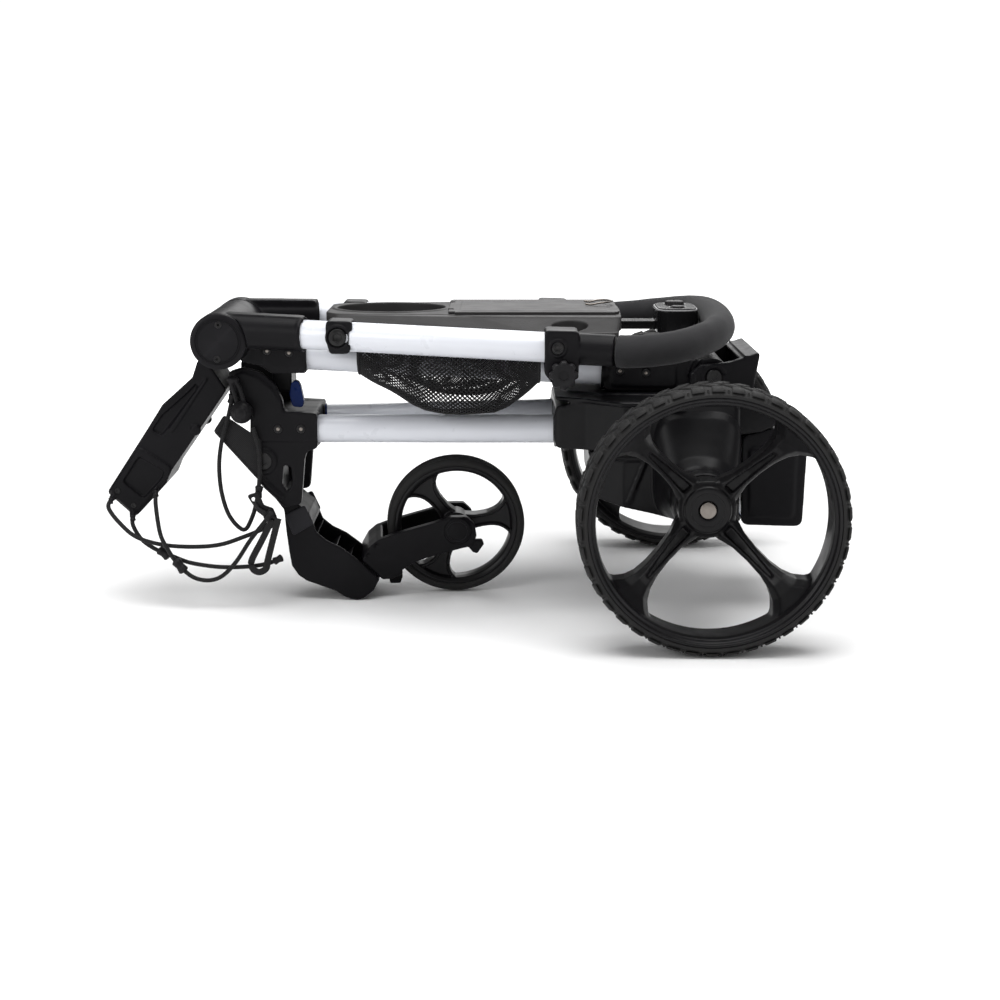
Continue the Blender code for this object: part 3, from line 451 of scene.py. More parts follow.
def cross(points, x0, x1, radius=0.0):
    """An outline in Y and Z, from x0 to x1."""
    outline = rounded(points, radius) if radius else points
    return extrude(outline, x0, x1, lambda u, v, w: (w, u, v))


def box(low, high):
    """A box between its low and high corners."""
    return prism([(low[0], low[2]), (high[0], low[2]), (high[0], high[2]), (low[0], high[2])], low[1],
                 high[1])


def rod(start, end, radius, sides=64, end_radius=None):
    """A cylinder or cone between two points."""
    start, end = Vector(start), Vector(end)
    bm = bmesh.new()
    bmesh.ops.create_cone(bm, cap_ends=True, segments=sides, radius1=radius,
                          radius2=radius if end_radius is None else end_radius,
                          depth=(end - start).length)
    turn = (end - start).to_track_quat("Z", "Y").to_matrix().to_4x4()
    bmesh.ops.transform(bm, matrix=Matrix.Translation((start + end) / 2) @ turn, verts=bm.verts)
    return from_bmesh("rod", bm)


def ball(centre, radius, squeeze=(1, 1, 1)):
    bm = bmesh.new()
    bmesh.ops.create_uvsphere(bm, u_segments=32, v_segments=20, radius=radius)
    bmesh.ops.transform(bm, matrix=Matrix.Translation(centre) @ Matrix.Diagonal((*squeeze, 1)),
                        verts=bm.verts)
    return from_bmesh("ball", bm)


def turned(profile, centre, side=1, steps=96, smooth=True, name="turned", mat=None):
    """A closed profile of (radius, Y), turned about a Y axis through centre (X, Z)."""
    bm = bmesh.new()
    rings = []
    for k in range(steps):
        c, s = cos(tau * k / steps), sin(tau * k / steps)
        rings.append([bm.verts.new((centre[0] + r * c, side * y, centre[1] + r * s)) for r, y in profile])
    count = len(profile)
    for k in range(steps):
        a, b = rings[k], rings[(k + 1) % steps]
        for i in range(count):
            j = (i + 1) % count
            bm.faces.new((a[i], a[j], b[j], b[i]))
    return from_bmesh(name, bm, mat, smooth)


def smooth_path(points, per_span=8):
    """Points along a spline through the given points."""
    pts = [Vector(p) for p in points]
    pts = [2 * pts[0] - pts[1]] + pts + [2 * pts[-1] - pts[-2]]
    path = []
    for a, b, c, d in zip(pts, pts[1:], pts[2:], pts[3:]):
        for k in range(per_span):
            t = k / per_span
            path.append(0.5 * ((2 * b) + (c - a) * t + (2 * a - 5 * b + 4 * c - d) * t ** 2
                               + (3 * b - 3 * c + d - a) * t ** 3))
    path.append(pts[-2])
    return path


def loft(path, sections, closed_ends=True):
    """A skin over sections: lists of (offset along side, offset along up) carried along a path."""
    bm = bmesh.new()
    rings = []
    for i, point in enumerate(path):
        tangent = (path[min(i + 1, len(path) - 1)] - path[max(i - 1, 0)]).normalized()
        side = tangent.cross(Vector((0, 0, 1)))
        side = side.normalized() if side.length > 1e-4 else Vector((1, 0, 0))
        up = side.cross(tangent)
        section = sections(i / (len(path) - 1)) if callable(sections) else sections
        rings.append([bm.verts.new(point + side * a + up * b) for a, b in section])
    for a, b in zip(rings, rings[1:]):
        for i in range(len(a)):
            j = (i + 1) % len(a)
            bm.faces.new((a[i], a[j], b[j], b[i]))
    if closed_ends:
        bm.faces.new(rings[0][::-1])
        bm.faces.new(rings[-1])
    return from_bmesh("loft", bm)


def circle(radius, sides=24, flat=1.0):
    return [(radius * cos(tau * k / sides), flat * radius * sin(tau * k / sides)) for k in range(sides)]


def bar(points, radius, sides=16):
    """A round bar along a list of points."""
    return loft([Vector(p) for p in points], circle(radius, sides))


def baked(obj):
    """The object with its modifiers applied to its mesh."""
    bpy.context.view_layer.update()
    evaluated = obj.evaluated_get(bpy.context.evaluated_depsgraph_get())
    mesh = bpy.data.meshes.new_from_object(evaluated)
    old = obj.data
    obj.modifiers.clear()
    obj.data = mesh
    bpy.data.meshes.remove(old)
    return obj


def discard(*objs):
    """Removes objects that only helped to build others."""
    for obj in objs:
        bpy.data.objects.remove(obj, do_unlink=True)


def gather(name, solids, mat):
    """One object made of all the solids."""
    bm = bmesh.new()
    for solid in solids:
        solid.data.transform(solid.matrix_world)
        bm.from_mesh(solid.data)
    mesh = bpy.data.meshes.new(name)
    bm.to_mesh(mesh)
    bm.free()
    discard(*solids)
    return link(name, mesh, mat)


def cut(solid, *holes, keep=False):
    for hole in holes:
        mod = solid.modifiers.new("cut", "BOOLEAN")
        mod.operation = "DIFFERENCE"
        mod.object = hole
        mod.solver = "MANIFOLD"
    baked(solid)
    if not keep:
        discard(*holes)
    return solid


def cast(name, mat, solids, holes=(), voxel=0.0014, rounding=4):
    """One moulded piece: solids merged, holes taken out, every edge softened."""
    for solid in solids:
        if holes:
            cut(solid, *holes, keep=True)
    discard(*holes)
    obj = gather(name, solids, mat)
    remesh = obj.modifiers.new("merge", "REMESH")
    remesh.mode = "VOXEL"
    remesh.voxel_size = voxel
    soften = obj.modifiers.new("soften", "SMOOTH")
    soften.factor = 0.5
    soften.iterations = rounding
    baked(obj)
    obj.data.shade_smooth()
    obj.data.materials.clear()
    obj.data.materials.append(mat)
    return obj


def crisp(name, mat, solids, holes=(), bevel=0.0006, angle=35):
    """A piece of separate solids with small even bevels and flat faces kept flat."""
    for solid in solids:
        if holes:
            cut(solid, *holes, keep=True)
    discard(*holes)
    obj = gather(name, solids, mat)
    edges = obj.modifiers.new("edges", "BEVEL")
    edges.width = bevel
    edges.segments = 3
    edges.limit_method = "ANGLE"
    edges.angle_limit = radians(angle)
    edges.harden_normals = False
    baked(obj)
    obj.data.shade_smooth()
    obj.data.set_sharp_from_angle(angle=radians(50))
    obj.data.materials.clear()
    obj.data.materials.append(mat)
    return obj


def moved(obj, matrix):
    """The object with a matrix applied to its mesh."""
    obj.data.transform(matrix)
    return obj


def mirrored(point, side):
    """A point of the far side, or its mirror image on the near side."""
    return Vector((point[0], side * point[1], point[2]))


def along(a, b, x):
    """The point at X = x on the line from a to b."""
    return a + (b - a) * ((x - a.x) / (b.x - a.x))


def arc(cx, cz, radius, start, end, steps):
    """Points on an arc in the XZ plane, from the start angle to the end angle in degrees."""
    return [(cx + radius * cos(radians(start + (end - start) * k / steps)),
             cz + radius * sin(radians(start + (end - start) * k / steps))) for k in range(steps + 1)]


def done(obj, body, slot, *nodes):
    """The piece rides on a body and stands for CAD nodes; the slot argument is not used."""
    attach(obj, body)
    if nodes:
        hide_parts(*nodes)
    return obj


def screw(at, direction, radius, body, name, recess="hex", mat="bolt", depth=0.0016):
    """A small countersunk screw head with its drive recess, standing on a face."""
    at, direction = Vector(at), Vector(direction).normalized()
    head = rod(at - direction * 0.0004, at + direction * depth, radius, 32, radius * 0.9)
    sides = {"hex": 6, "star": 12}[recess]
    cut(head, rod(at + direction * depth * 0.2, at + direction * (depth + 0.001), radius * 0.5, sides))
    piece = crisp(name, M["bolt"], [head], bevel=radius * 0.08)
    if mat == "steel":      # the bare end of the shank shows in the socket
        shank = crisp(f"{name}_shank", M["steel"], [rod(at, at + direction * depth * 0.55,
                                                        radius * 0.42, 24)], bevel=0.0002)
        done(shank, body, "brushed_steel")
    return done(piece, body, "brushed_steel")


def keep(solid, tool):
    """Leaves only what lies inside the tool."""
    mod = solid.modifiers.new("keep", "BOOLEAN")
    mod.operation = "INTERSECT"
    mod.object = tool
    mod.solver = "MANIFOLD"
    baked(solid)
    discard(tool)
    return solid


def copy_of(obj):
    twin = bpy.data.objects.new(obj.name, obj.data.copy())
    twin.matrix_world = obj.matrix_world
    bpy.context.scene.collection.objects.link(twin)
    return twin


# ---------------------------------------------------------------- frame tubes
def frame_tubes():
    """The six white tubes, in three pairs."""
    layers = (("lower", "chassis", LOWER_A, LOWER_B), ("middle", "middle_frame", MIDDLE_A, MIDDLE_B),
              ("handle", "handle_frame", HANDLE_A, along(HANDLE_A, HANDLE_B, 0.1270)))
    for layer, body, a, b in layers:
        for label, side in SIDES:
            wall = rod(mirrored(a, side), mirrored(b, side), TUBE_R, 96)
            tube = crisp(f"{layer}_rail_{label}", M["white"], [wall])
            done(tube, body, "gloss_white_paint", f"{layer}_tube_{label}")


# ---------------------------------------------------------------- rear wheels
def tread(bm, centre, side, middle, rows, base, top, size):
    """Rubber blocks round the tyre: rows of (Y offset, phase, lean), each block length by width."""
    length, width = size
    for offset, phase, lean, count in rows:
        for k in range(count):
            turn = tau * (k + phase) / count
            corners = []
            for radius, shrink in ((base, 1.0), (top, 0.84)):
                for u, v in ((-1, -1), (1, -1), (1, 1), (-1, 1)):
                    y = offset + v * width / 2 * shrink
                    angle = turn + (u * length / 2 * shrink + lean * v * width / 2) / radius
                    drop = 0.0022 * max(0.0,
                                        abs(y) / 0.0325 - 0.62) / 0.38 * (1.6 if radius == top else 1.0)
                    r = radius - drop
                    corners.append(bm.verts.new((centre[0] + r * cos(angle), side * (middle + y),
                                                 centre[1] + r * sin(angle))))
            a, b = corners[:4], corners[4:]
            bm.faces.new(a[::-1])
            bm.faces.new(b)
            for i in range(4):
                j = (i + 1) % 4
                bm.faces.new((a[i], a[j], b[j], b[i]))


def rear_tyre(label, side):
    """A rear tyre: its carcass, tread blocks and shoulder ribs."""
    middle, half = WHEEL_OUT - TYRE_W / 2, TYRE_W / 2
    base = WHEEL_R - 0.0021
    seat = WHEEL_R - 0.0116
    profile = [(seat, middle - half + 0.001), (seat + 0.003, middle - half + 0.0004),
               (base - 0.0062, middle - half + 0.001), (base - 0.0025, middle - half + 0.0045),
               (base - 0.0006, middle - half + 0.010), (base, middle - half + 0.018),
               (base, middle - 0.003), (base - 0.0014, middle - 0.0016),
               (base - 0.0014, middle + 0.0016), (base, middle + 0.003), (base, middle + half - 0.018),
               (base - 0.0006, middle + half - 0.010), (base - 0.0025, middle + half - 0.0045),
               (base - 0.0062, middle + half - 0.001), (seat + 0.003, middle + half - 0.0004),
               (seat, middle + half - 0.001)]
    carcass = turned(profile, (AXLE_X, AXLE_Z), side, 160, name="carcass")
    bm = bmesh.new()
    rows = [(-0.0245, 0.0, 0.0, 42), (0.0245, 0.5, 0.0, 42), (-0.0085, 0.25, 0.62, 42),
            (0.0085, 0.75, -0.62, 42)]
    tread(bm, (AXLE_X, AXLE_Z), side, middle, rows, base - 0.0012, WHEEL_R, (0.0150, 0.0140))
    blocks = from_bmesh("blocks", bm)
    blocks.modifiers.new("edges", "BEVEL").width = 0.0007
    baked(blocks)
    ribs = []
    for k in range(42):       # short ribs down the outer shoulder
        turn = tau * k / 42
        start = Vector((AXLE_X + (base - 0.0012) * cos(turn), side * (middle + half - 0.0040),
                        AXLE_Z + (base - 0.0012) * sin(turn)))
        end = Vector((AXLE_X + (base - 0.0085) * cos(turn), side * (middle + half - 0.0018),
                      AXLE_Z + (base - 0.0085) * sin(turn)))
        ribs.append(rod(start, end, 0.0011, 8))
    tyre = gather(f"tread_{label}", [carcass, blocks, *ribs], M["rubber"])
    tyre.data.shade_smooth()
    tyre.data.set_sharp_from_angle(angle=radians(40))
    done(tyre, f"rear_wheel_{label}", "tyre_rubber", f"tyre_{label}")


def spoke_solid(centre, turn, side, stations):
    """A bar from hub to rim; each station is (reach, half width, inner Y, outer Y)."""
    bm = bmesh.new()
    rings = []
    for reach, wide, inner, outer in stations:
        edge = min(0.25 * (outer - inner), 0.5 * wide)
        corners = ((wide, inner), (-wide, inner), (-wide, outer - edge), (-wide + edge, outer),
                   (wide - edge, outer), (wide, outer - edge))
        rings.append([bm.verts.new((centre[0] + reach * cos(turn) - w * sin(turn), side * y,
                                    centre[1] + reach * sin(turn) + w * cos(turn))) for w, y in corners])
    for a, b in zip(rings, rings[1:]):
        for i in range(6):
            bm.faces.new((a[i], a[(i + 1) % 6], b[(i + 1) % 6], b[i]))
    bm.faces.new(rings[0])
    bm.faces.new(rings[-1])
    return from_bmesh("spoke", bm)


def rear_rim(label, side):
    """A rear rim with its spokes, hub and axle pin."""
    centre = (AXLE_X, AXLE_Z)
    middle = WHEEL_OUT - TYRE_W / 2
    seat = WHEEL_R - 0.0113
    barrel = turned([(seat, middle - 0.031), (seat, middle + 0.0305), (seat - 0.0020, middle + 0.0315),
                     (seat - 0.0045, middle + 0.0310), (seat - 0.0050, middle + 0.0265),
                     (seat - 0.0090, middle + 0.0255), (seat - 0.0100, middle + 0.018),
                     (seat - 0.0085, middle - 0.024), (seat - 0.0045, middle - 0.031)], centre, side,
                    128)
    hub = rod((AXLE_X, side * 0.1915, AXLE_Z), (AXLE_X, side * 0.2240, AXLE_Z), 0.0330)
    collar = rod((AXLE_X, side * 0.2200, AXLE_Z), (AXLE_X, side * 0.2262, AXLE_Z), 0.0330, 64, 0.0300)
    cap = rod((AXLE_X, side * 0.22, AXLE_Z), (AXLE_X, side * (HUB_OUT + 0.003), AXLE_Z), 0.0275, 64,
              0.0262)
    stations = ((0.018, 0.0175, 0.197, 0.2235), (0.034, 0.0155, 0.201, 0.2260),
                (0.050, 0.0105, 0.206, 0.2320), (0.070, 0.0088, 0.214, 0.2420),
                (0.090, 0.0092, 0.223, 0.2540), (0.105, 0.0122, 0.232, 0.2650),
                (0.116, 0.0180, 0.240, 0.2760), (0.124, 0.0270, 0.247, 0.2850),
                (0.130, 0.0400, 0.253, 0.2920), (seat - 0.004, 0.0470, 0.2560, 0.2960))
    grooves = ((0.030, 0.0060, 0.2175, 0.240), (0.045, 0.0058, 0.2230, 0.250),
               (0.062, 0.0046, 0.2305, 0.258), (0.080, 0.0036, 0.2420, 0.268),
               (0.098, 0.0022, 0.2560, 0.275))
    solids, holes = [barrel, hub, collar, cap], []
    for n in range(4):
        turn = radians(45 + 90 * n)
        bar_n = spoke_solid(centre, turn, side, stations)
        groove = spoke_solid(centre, turn, side, grooves)
        solids.append(cut(bar_n, groove))
    holes.append(rod((AXLE_X, side * 0.18, AXLE_Z), (AXLE_X, side * 0.25, AXLE_Z), AXLE_R + 0.0004))
    rim = cast(f"spoked_rim_{label}", M["wheel"], solids, holes, 0.0013, 5)
    done(rim, f"rear_wheel_{label}", "satin_black_plastic", f"rim_{label}")
    ring = turned([(0.0195, HUB_OUT + 0.0026), (0.0195, HUB_OUT + 0.0034), (0.0186, HUB_OUT + 0.0034),
                   (0.0186, HUB_OUT + 0.0026)], centre, side, 64, mat=M["wheel"],
                  name=f"hub_step_{label}")
    done(ring, f"rear_wheel_{label}", "satin_black_plastic")
    pin = crisp(f"axle_pin_{label}", M["steel"], [rod((AXLE_X, side * 0.1125, AXLE_Z),
                                                      (AXLE_X, side * 0.2318, AXLE_Z), AXLE_R, 64)],
                bevel=0.0012)
    done(pin, f"rear_wheel_{label}", "brushed_steel", f"axle_{label}")


# ---------------------------------------------------------------- front arm, fork and caster wheel
def swivelled(obj):
    turn = (Matrix.Translation(CROWN) @ Matrix.Rotation(SWIVEL_ANGLE, 4,
                                                        SWIVEL_AXIS) @ Matrix.Translation(-CROWN))
    return moved(obj, turn)


def caster_wheel():
    """The front wheel: its tyre and its spoked rim."""
    ax, az = CASTER_AXLE
    half = CASTER_W / 2
    base = CASTER_R
    profile = [(base - 0.0092, -half), (base - 0.0040, -half - 0.0002), (base - 0.0016, -half + 0.0018)]
    for k in range(5):          # ribs and grooves round the tread
        y = -half + 0.0040 + k * 0.0050
        profile += [(base - 0.0004, y - 0.0016), (base, y), (base - 0.0004, y + 0.0016),
                    (base - 0.0019, y + 0.0022), (base - 0.0019, y + 0.0028)]
    profile = [p for p in profile if p[1] < half - 0.0030]
    profile += [(base - 0.0016, half - 0.0018), (base - 0.0040, half + 0.0002), (base - 0.0092, half)]
    tyre = swivelled(turned(profile, (ax, az), 1, 144, name="caster_tyre", mat=M["rubber"]))
    done(tyre, "front_wheel", "tyre_rubber", "front_tyre")
    rim_r = base - 0.0090
    barrel = turned([(rim_r, -0.0135), (rim_r, 0.0135), (rim_r - 0.0030, 0.0142),
                     (rim_r - 0.0042, 0.0130), (rim_r - 0.0070, 0.0118), (rim_r - 0.0085, 0.0040),
                     (rim_r - 0.0085, -0.0040), (rim_r - 0.0070, -0.0118), (rim_r - 0.0042, -0.0130),
                     (rim_r - 0.0030, -0.0142)], (ax, az), 1, 96)
    hub = rod((ax, -0.0155, az), (ax, 0.0155, az), 0.0170)
    hub_step = rod((ax, -0.0235, az), (ax, 0.0235, az), 0.0125)
    solids = [barrel, hub, hub_step]
    for n in range(3):
        turn = radians(9 + 120 * n)
        reach = rim_r - 0.004
        half_plan = [(0.006, 0.0125), (0.024, 0.0085), (0.040, 0.0085), (0.052, 0.0115),
                     (0.060, 0.0170), (reach, 0.0300)]
        plan = half_plan + [(u, -v) for u, v in half_plan[::-1]]
        points = [(ax + u * cos(turn) - v * sin(turn), az + u * sin(turn) + v * cos(turn)) for u,
                  v in plan]
        web = prism(points, -0.0065, 0.0065)
        solids.append(web)
        for edge in (-1, 1):    # raised ridges along both edges of each spoke
            route = [(0.014, 0.0092), (0.026, 0.0068), (0.042, 0.0070), (0.054, 0.0105),
                     (0.0625, 0.0180), (0.0665, 0.0260)]
            line = [Vector((ax + u * cos(turn) - edge * v * sin(turn), 0,
                            az + u * sin(turn) + edge * v * cos(turn))) for u, v in route]
            path = smooth_path(line, 3)
            solids.append(loft(path, [(-0.0102, -0.0016), (0.0102, -0.0016), (0.0102, 0.0016),
                                      (-0.0102, 0.0016)]))
    rim = cast("caster_rim", M["wheel"], solids, [rod((ax, -0.05, az), (ax, 0.05, az), 0.0064)], 0.0011,
               3)
    done(swivelled(rim), "front_wheel", "satin_black_plastic", "front_rim")


def fork():
    """The fork that carries the front wheel, its axle and its swivel lock."""
    ax, az = CASTER_AXLE
    blade = [(-0.126, 0.0506), (-0.117, 0.067), (-0.107, 0.0755), (-0.085, 0.0835), (-0.036, 0.097),
             (-0.016, 0.104), (0.003, 0.104), (0.013, 0.094), (0.0155, 0.079), (0.008, 0.066),
             (-0.006, 0.063), (-0.037, 0.055), (-0.061, 0.047), (-0.080, 0.035), (-0.090, 0.026),
             (-0.1010, 0.0256)]
    solids, holes = [], []
    for _, side in SIDES:
        solids.append(prism(blade, side * 0.0265, side * 0.038, 0.005))
        solids.append(rod((ax, side * 0.034, az), (ax, side * 0.0412, az), 0.0160))
    crown = [(-0.126, 0.0506), (-0.117, 0.067), (-0.107, 0.0755), (-0.0985, 0.0785), (-0.0985, 0.056),
             (-0.081, 0.040), (-0.0745, 0.034), (-0.080, 0.030), (-0.090, 0.026), (-0.1010, 0.0256)]
    solids.append(prism(crown, -0.0375, 0.0375, 0.003))
    solids.append(prism([(0.008, 0.0735), (0.0225, 0.0735), (0.0245, 0.068), (0.016, 0.056),
                         (0.0105, 0.058), (0.004, 0.0665)], -0.036, -0.0268))
    shift = Matrix.Translation(SWIVEL_AXIS * 0.0008)
    # notches across the crown
    for k in range(2):
        holes.append(rod((-0.1185 + 0.0105 * k, -0.0420, 0.0575 + 0.0120 * k),
                         (-0.1185 + 0.0105 * k, -0.0355, 0.0575 + 0.0120 * k), 0.0026, 24))
    body = cast("caster_fork", M["black"], solids, holes, 0.0011, 4)
    moved(body, shift)
    done(swivelled(body), "fork", "satin_black_plastic", "fork")
    ring = turned([(0.0128, 0.0410), (0.0128, 0.0418), (0.0118, 0.0418), (0.0118, 0.0410)], (ax, az),
                  -1, 64, mat=M["black"], name="boss_ring")
    done(swivelled(ring), "fork", "satin_black_plastic")
    pin = crisp("caster_axle", M["steel"], [rod((ax, -0.0408, az), (ax, 0.0408, az), 0.006, 48)])
    done(swivelled(pin), "fork", "brushed_steel", "front_axle")
    cover = crisp("boss_cover", M["black"], [rod((ax, -0.0406, az), (ax, -0.0414, az), 0.0114, 64)],
                  bevel=0.0004)
    done(swivelled(cover), "fork", "satin_black_plastic")
    paddle = prism([(-0.0935, 0.0245), (-0.083, 0.0315), (-0.0765, 0.0285), (-0.0800, 0.0185),
                    (-0.0930, 0.0185)], -0.024, -0.012, 0.002)
    lever = cast("swivel_lock", M["deep"], [paddle], (), 0.0008, 3)
    moved(lever, Matrix.Translation((0.002, 0, -0.002)))
    done(swivelled(lever), "swivel_lever", "satin_black_plastic", "swivel_lever")


def front_arm():
    """The arm between the front casting and the fork, open at the top, with its grey band."""
    px, pz = ARM_PIVOT
    head = arc(px, pz, 0.0155, -20, 200, 11)
    body = [(-0.2505, 0.168), (-0.237, 0.141), (-0.216, 0.113), (-0.214, 0.087), (-0.211, 0.062),
            (-0.208, 0.043), (-0.200, 0.031), (-0.190, 0.024), (-0.154, 0.011), (-0.145, 0.0045),
            (-0.136, 0.001), (-0.128, 0.0), (-0.120, 0.0025), (-0.108, 0.012), (-0.1012, 0.0250),
            (-0.1262, 0.0500), (-0.147, 0.066), (-0.165, 0.075), (-0.177, 0.085), (-0.186, 0.110),
            (-0.200, 0.121), (-0.217, 0.135)]
    shell = prism(head + body, -ARM_HALF, ARM_HALF)
    pocket = prism([(-0.1730, 0.1020), (-0.1975, 0.076), (-0.182, 0.062), (-0.135, 0.025),
                    (-0.1235, 0.0365), (-0.118, 0.052), (-0.160, 0.100)], -0.0405, 0.0405)
    stem = rod(CROWN - SWIVEL_AXIS * 0.016, CROWN + SWIVEL_AXIS * 0.01, 0.0113)
    bore = rod((px, -0.07, pz), (px, 0.07, pz), 0.0083)
    window = prism([(-0.2155, 0.1750), (-0.2035, 0.1700), (-0.2020, 0.1500), (-0.2075, 0.1350),
                    (-0.2175, 0.1480)], -0.08, 0.08, 0.003)
    cut(shell, pocket, stem, bore, window)
    ribs = [prism([(-0.1575, 0.062), (-0.152, 0.066), (-0.163, 0.050), (-0.168, 0.054)], -0.041, 0.041),
            prism([(-0.1770, 0.083), (-0.1730, 0.086), (-0.1870, 0.070), (-0.1905, 0.073)], -0.041,
                  0.041), prism([(-0.1400, 0.0480), (-0.1360, 0.0510), (-0.1480, 0.0360),
                                 (-0.1520, 0.0390)], -0.041, 0.041)]
    arm = cast("front_arm", M["black"], [shell, *ribs], (), 0.0013, 4)
    done(arm, "front_arm", "satin_black_plastic", "front_arm_shell")
    band = prism([(-0.215, 0.107), (-0.1905, 0.1195), (-0.1795, 0.096), (-0.205, 0.081)], -0.0482,
                 0.0482, 0.003)
    hollow = prism([(-0.230, 0.100), (-0.1860, 0.1280), (-0.1860, 0.1120), (-0.1755, 0.0820),
                    (-0.225, 0.070)], -ARM_HALF - 0.0002, ARM_HALF + 0.0002)
    band = cast("saddle_band", M["band"], [band], [hollow], 0.0009, 3)
    done(band, "front_arm", "console_grey_plastic", "arm_band")
    for k, (x, z) in enumerate(((-0.1460, 0.0490), (-0.1330, 0.0375))):
        screw((x, -0.030, z), (0.66, 0, 0.75), 0.0042, "front_arm", f"arm_screw_{k}", "hex", "steel")


# ---------------------------------------------------------------- front casting
def front_casting():
    """The casting that joins the lower tubes to the front arm, with its pivot bolt and screws."""
    cheek = [(-0.277, 0.284), (-0.260, 0.2890), (-0.240, 0.284), (-0.222, 0.269), (-0.2135, 0.250),
             (-0.2110, 0.236), (-0.172, 0.2345), (-0.172, 0.1915), (-0.185, 0.188), (-0.188, 0.178),
             (-0.193, 0.123), (-0.213, 0.119), (-0.238, 0.143), (-0.254, 0.166), (-0.252, 0.236),
             (-0.276, 0.253)]
    slot = rounded([(-0.2135, 0.1725), (-0.2045, 0.1680), (-0.2035, 0.1500), (-0.2085, 0.1370),
                    (-0.2155, 0.1480)], 0.003)
    px, pz = ARM_PIVOT
    solids = [prism([(-0.236, 0.1920), (-0.251, 0.2120), (-0.251, 0.2345), (-0.173, 0.2340),
                     (-0.173, 0.1925)], -CHEEK_IN - 0.002, CHEEK_IN + 0.002, 0.004)]
    holes = [prism(slot, -0.08, 0.08), rod((px, -0.07, pz), (px, 0.07, pz), 0.0083)]
    for _, side in SIDES:
        solids.append(prism(cheek, side * CHEEK_IN, side * (CHEEK_OUT - 0.0012), 0.006))
        # a raised panel above the seam, and a raised boss round the pivot
        panel = [(-0.250, 0.2005), (-0.1722, 0.2005), (-0.1722, 0.2343), (-0.2130, 0.2362),
                 (-0.2160, 0.249), (-0.226, 0.264), (-0.243, 0.278), (-0.260, 0.2835), (-0.270, 0.2790),
                 (-0.270, 0.2575), (-0.2475, 0.240)]
        solids.append(prism(panel, side * (CHEEK_OUT - 0.003), side * (CHEEK_OUT + 0.0006), 0.004))
        solids.append(rod((px, side * 0.058, pz), (px, side * (CHEEK_OUT + 0.0012), pz), 0.0165, 64,
                          0.0155))
        holes.append(rod((px, side * (CHEEK_OUT + 0.0002), pz), (px, side * 0.07, pz), 0.0105, 64))
        axis = (LOWER_B - LOWER_A).normalized()
        mouth = along(LOWER_A, LOWER_B, -0.1745)
        solids.append(rod(mirrored(mouth, side), mirrored(mouth + axis * 0.0035, side), TUBE_R + 0.0038,
                          64, TUBE_R + 0.0026))
        holes.append(rod(mirrored(LOWER_A - axis * 0.002, side), mirrored(LOWER_B, side),
                         TUBE_R + 0.0002, 96))
        edge = [(-0.2475, 0.1600), (-0.2400, 0.1480), (-0.2180, 0.1285), (-0.2120, 0.1310),
                (-0.2330, 0.1500), (-0.2410, 0.1620)]
        solids.append(prism(edge, side * (CHEEK_OUT - 0.002), side * (CHEEK_OUT + 0.0010), 0.002))
    casting = cast("front_frame_casting", M["black"], solids, holes, 0.0013, 3)
    done(casting, "chassis", "satin_black_plastic", "front_casting")
    pin = turned([(0.0001, -0.0640), (0.0095, -0.0640), (0.0102, -0.0632), (0.0102, -0.0622),
                  (0.0080, -0.0620), (0.0080, 0.0620), (0.0102, 0.0622), (0.0102, 0.0632),
                  (0.0095, 0.0640), (0.0001, 0.0640)], ARM_PIVOT, 1, 48, mat=M["bolt"], name="arm_bolt")
    for _, side in SIDES:
        cut(pin, rod((px, side * 0.0625, pz), (px, side * 0.067, pz), 0.0048, 6))
    pin.data.set_sharp_from_angle(angle=radians(40))
    done(pin, "chassis", "brushed_steel", "arm_pivot_pin")
    for _, side in SIDES:
        for k, x in enumerate((-0.2189, -0.1914)):
            screw((x, side * (CHEEK_OUT + 0.0004), 0.2154), (0, side, 0), 0.0052, "chassis",
                  f"casting_screw_{k}_{side}", "hex", "steel")


def latch():
    """The blue latch lever, and the stop on the far lower tube."""
    blade = prism([(-0.2030, 0.2400), (-0.2060, 0.2550), (-0.2035, 0.2700), (-0.1960, 0.2720),
                   (-0.1925, 0.2650), (-0.1890, 0.2480), (-0.1900, 0.2390)], -0.0465, -0.0335, 0.005)
    dimple = rod((-0.198, -0.0478, 0.2640), (-0.198, -0.0458, 0.2640), 0.0030, 24)
    lever = cast("latch_handle", M["blue"], [blade], [dimple], 0.0007, 4)
    done(lever, "latch_lever", "blue_plastic", "latch_lever")
    # short collar with a blue end on the far lower tube
    axis = (LOWER_B - LOWER_A).normalized()
    bore = (mirrored(LOWER_A, 1), mirrored(along(LOWER_A, LOWER_B, -0.1), 1), TUBE_R + 0.0002, 64)
    at, tip = along(LOWER_A, LOWER_B, -0.1735), along(LOWER_A, LOWER_B, -0.1690)
    stop = cast("tube_stop", M["deep"], [rod(at - axis * 0.022, at, TUBE_R + 0.0022, 64)], [rod(*bore)],
                0.0009, 3)
    done(stop, "chassis", "satin_black_plastic")
    ring = cast("stop_ring", M["blue"], [rod(at + axis * 0.0002, tip, TUBE_R + 0.0018, 64)],
                [rod(*bore)], 0.0007, 3)
    done(ring, "chassis", "blue_plastic")


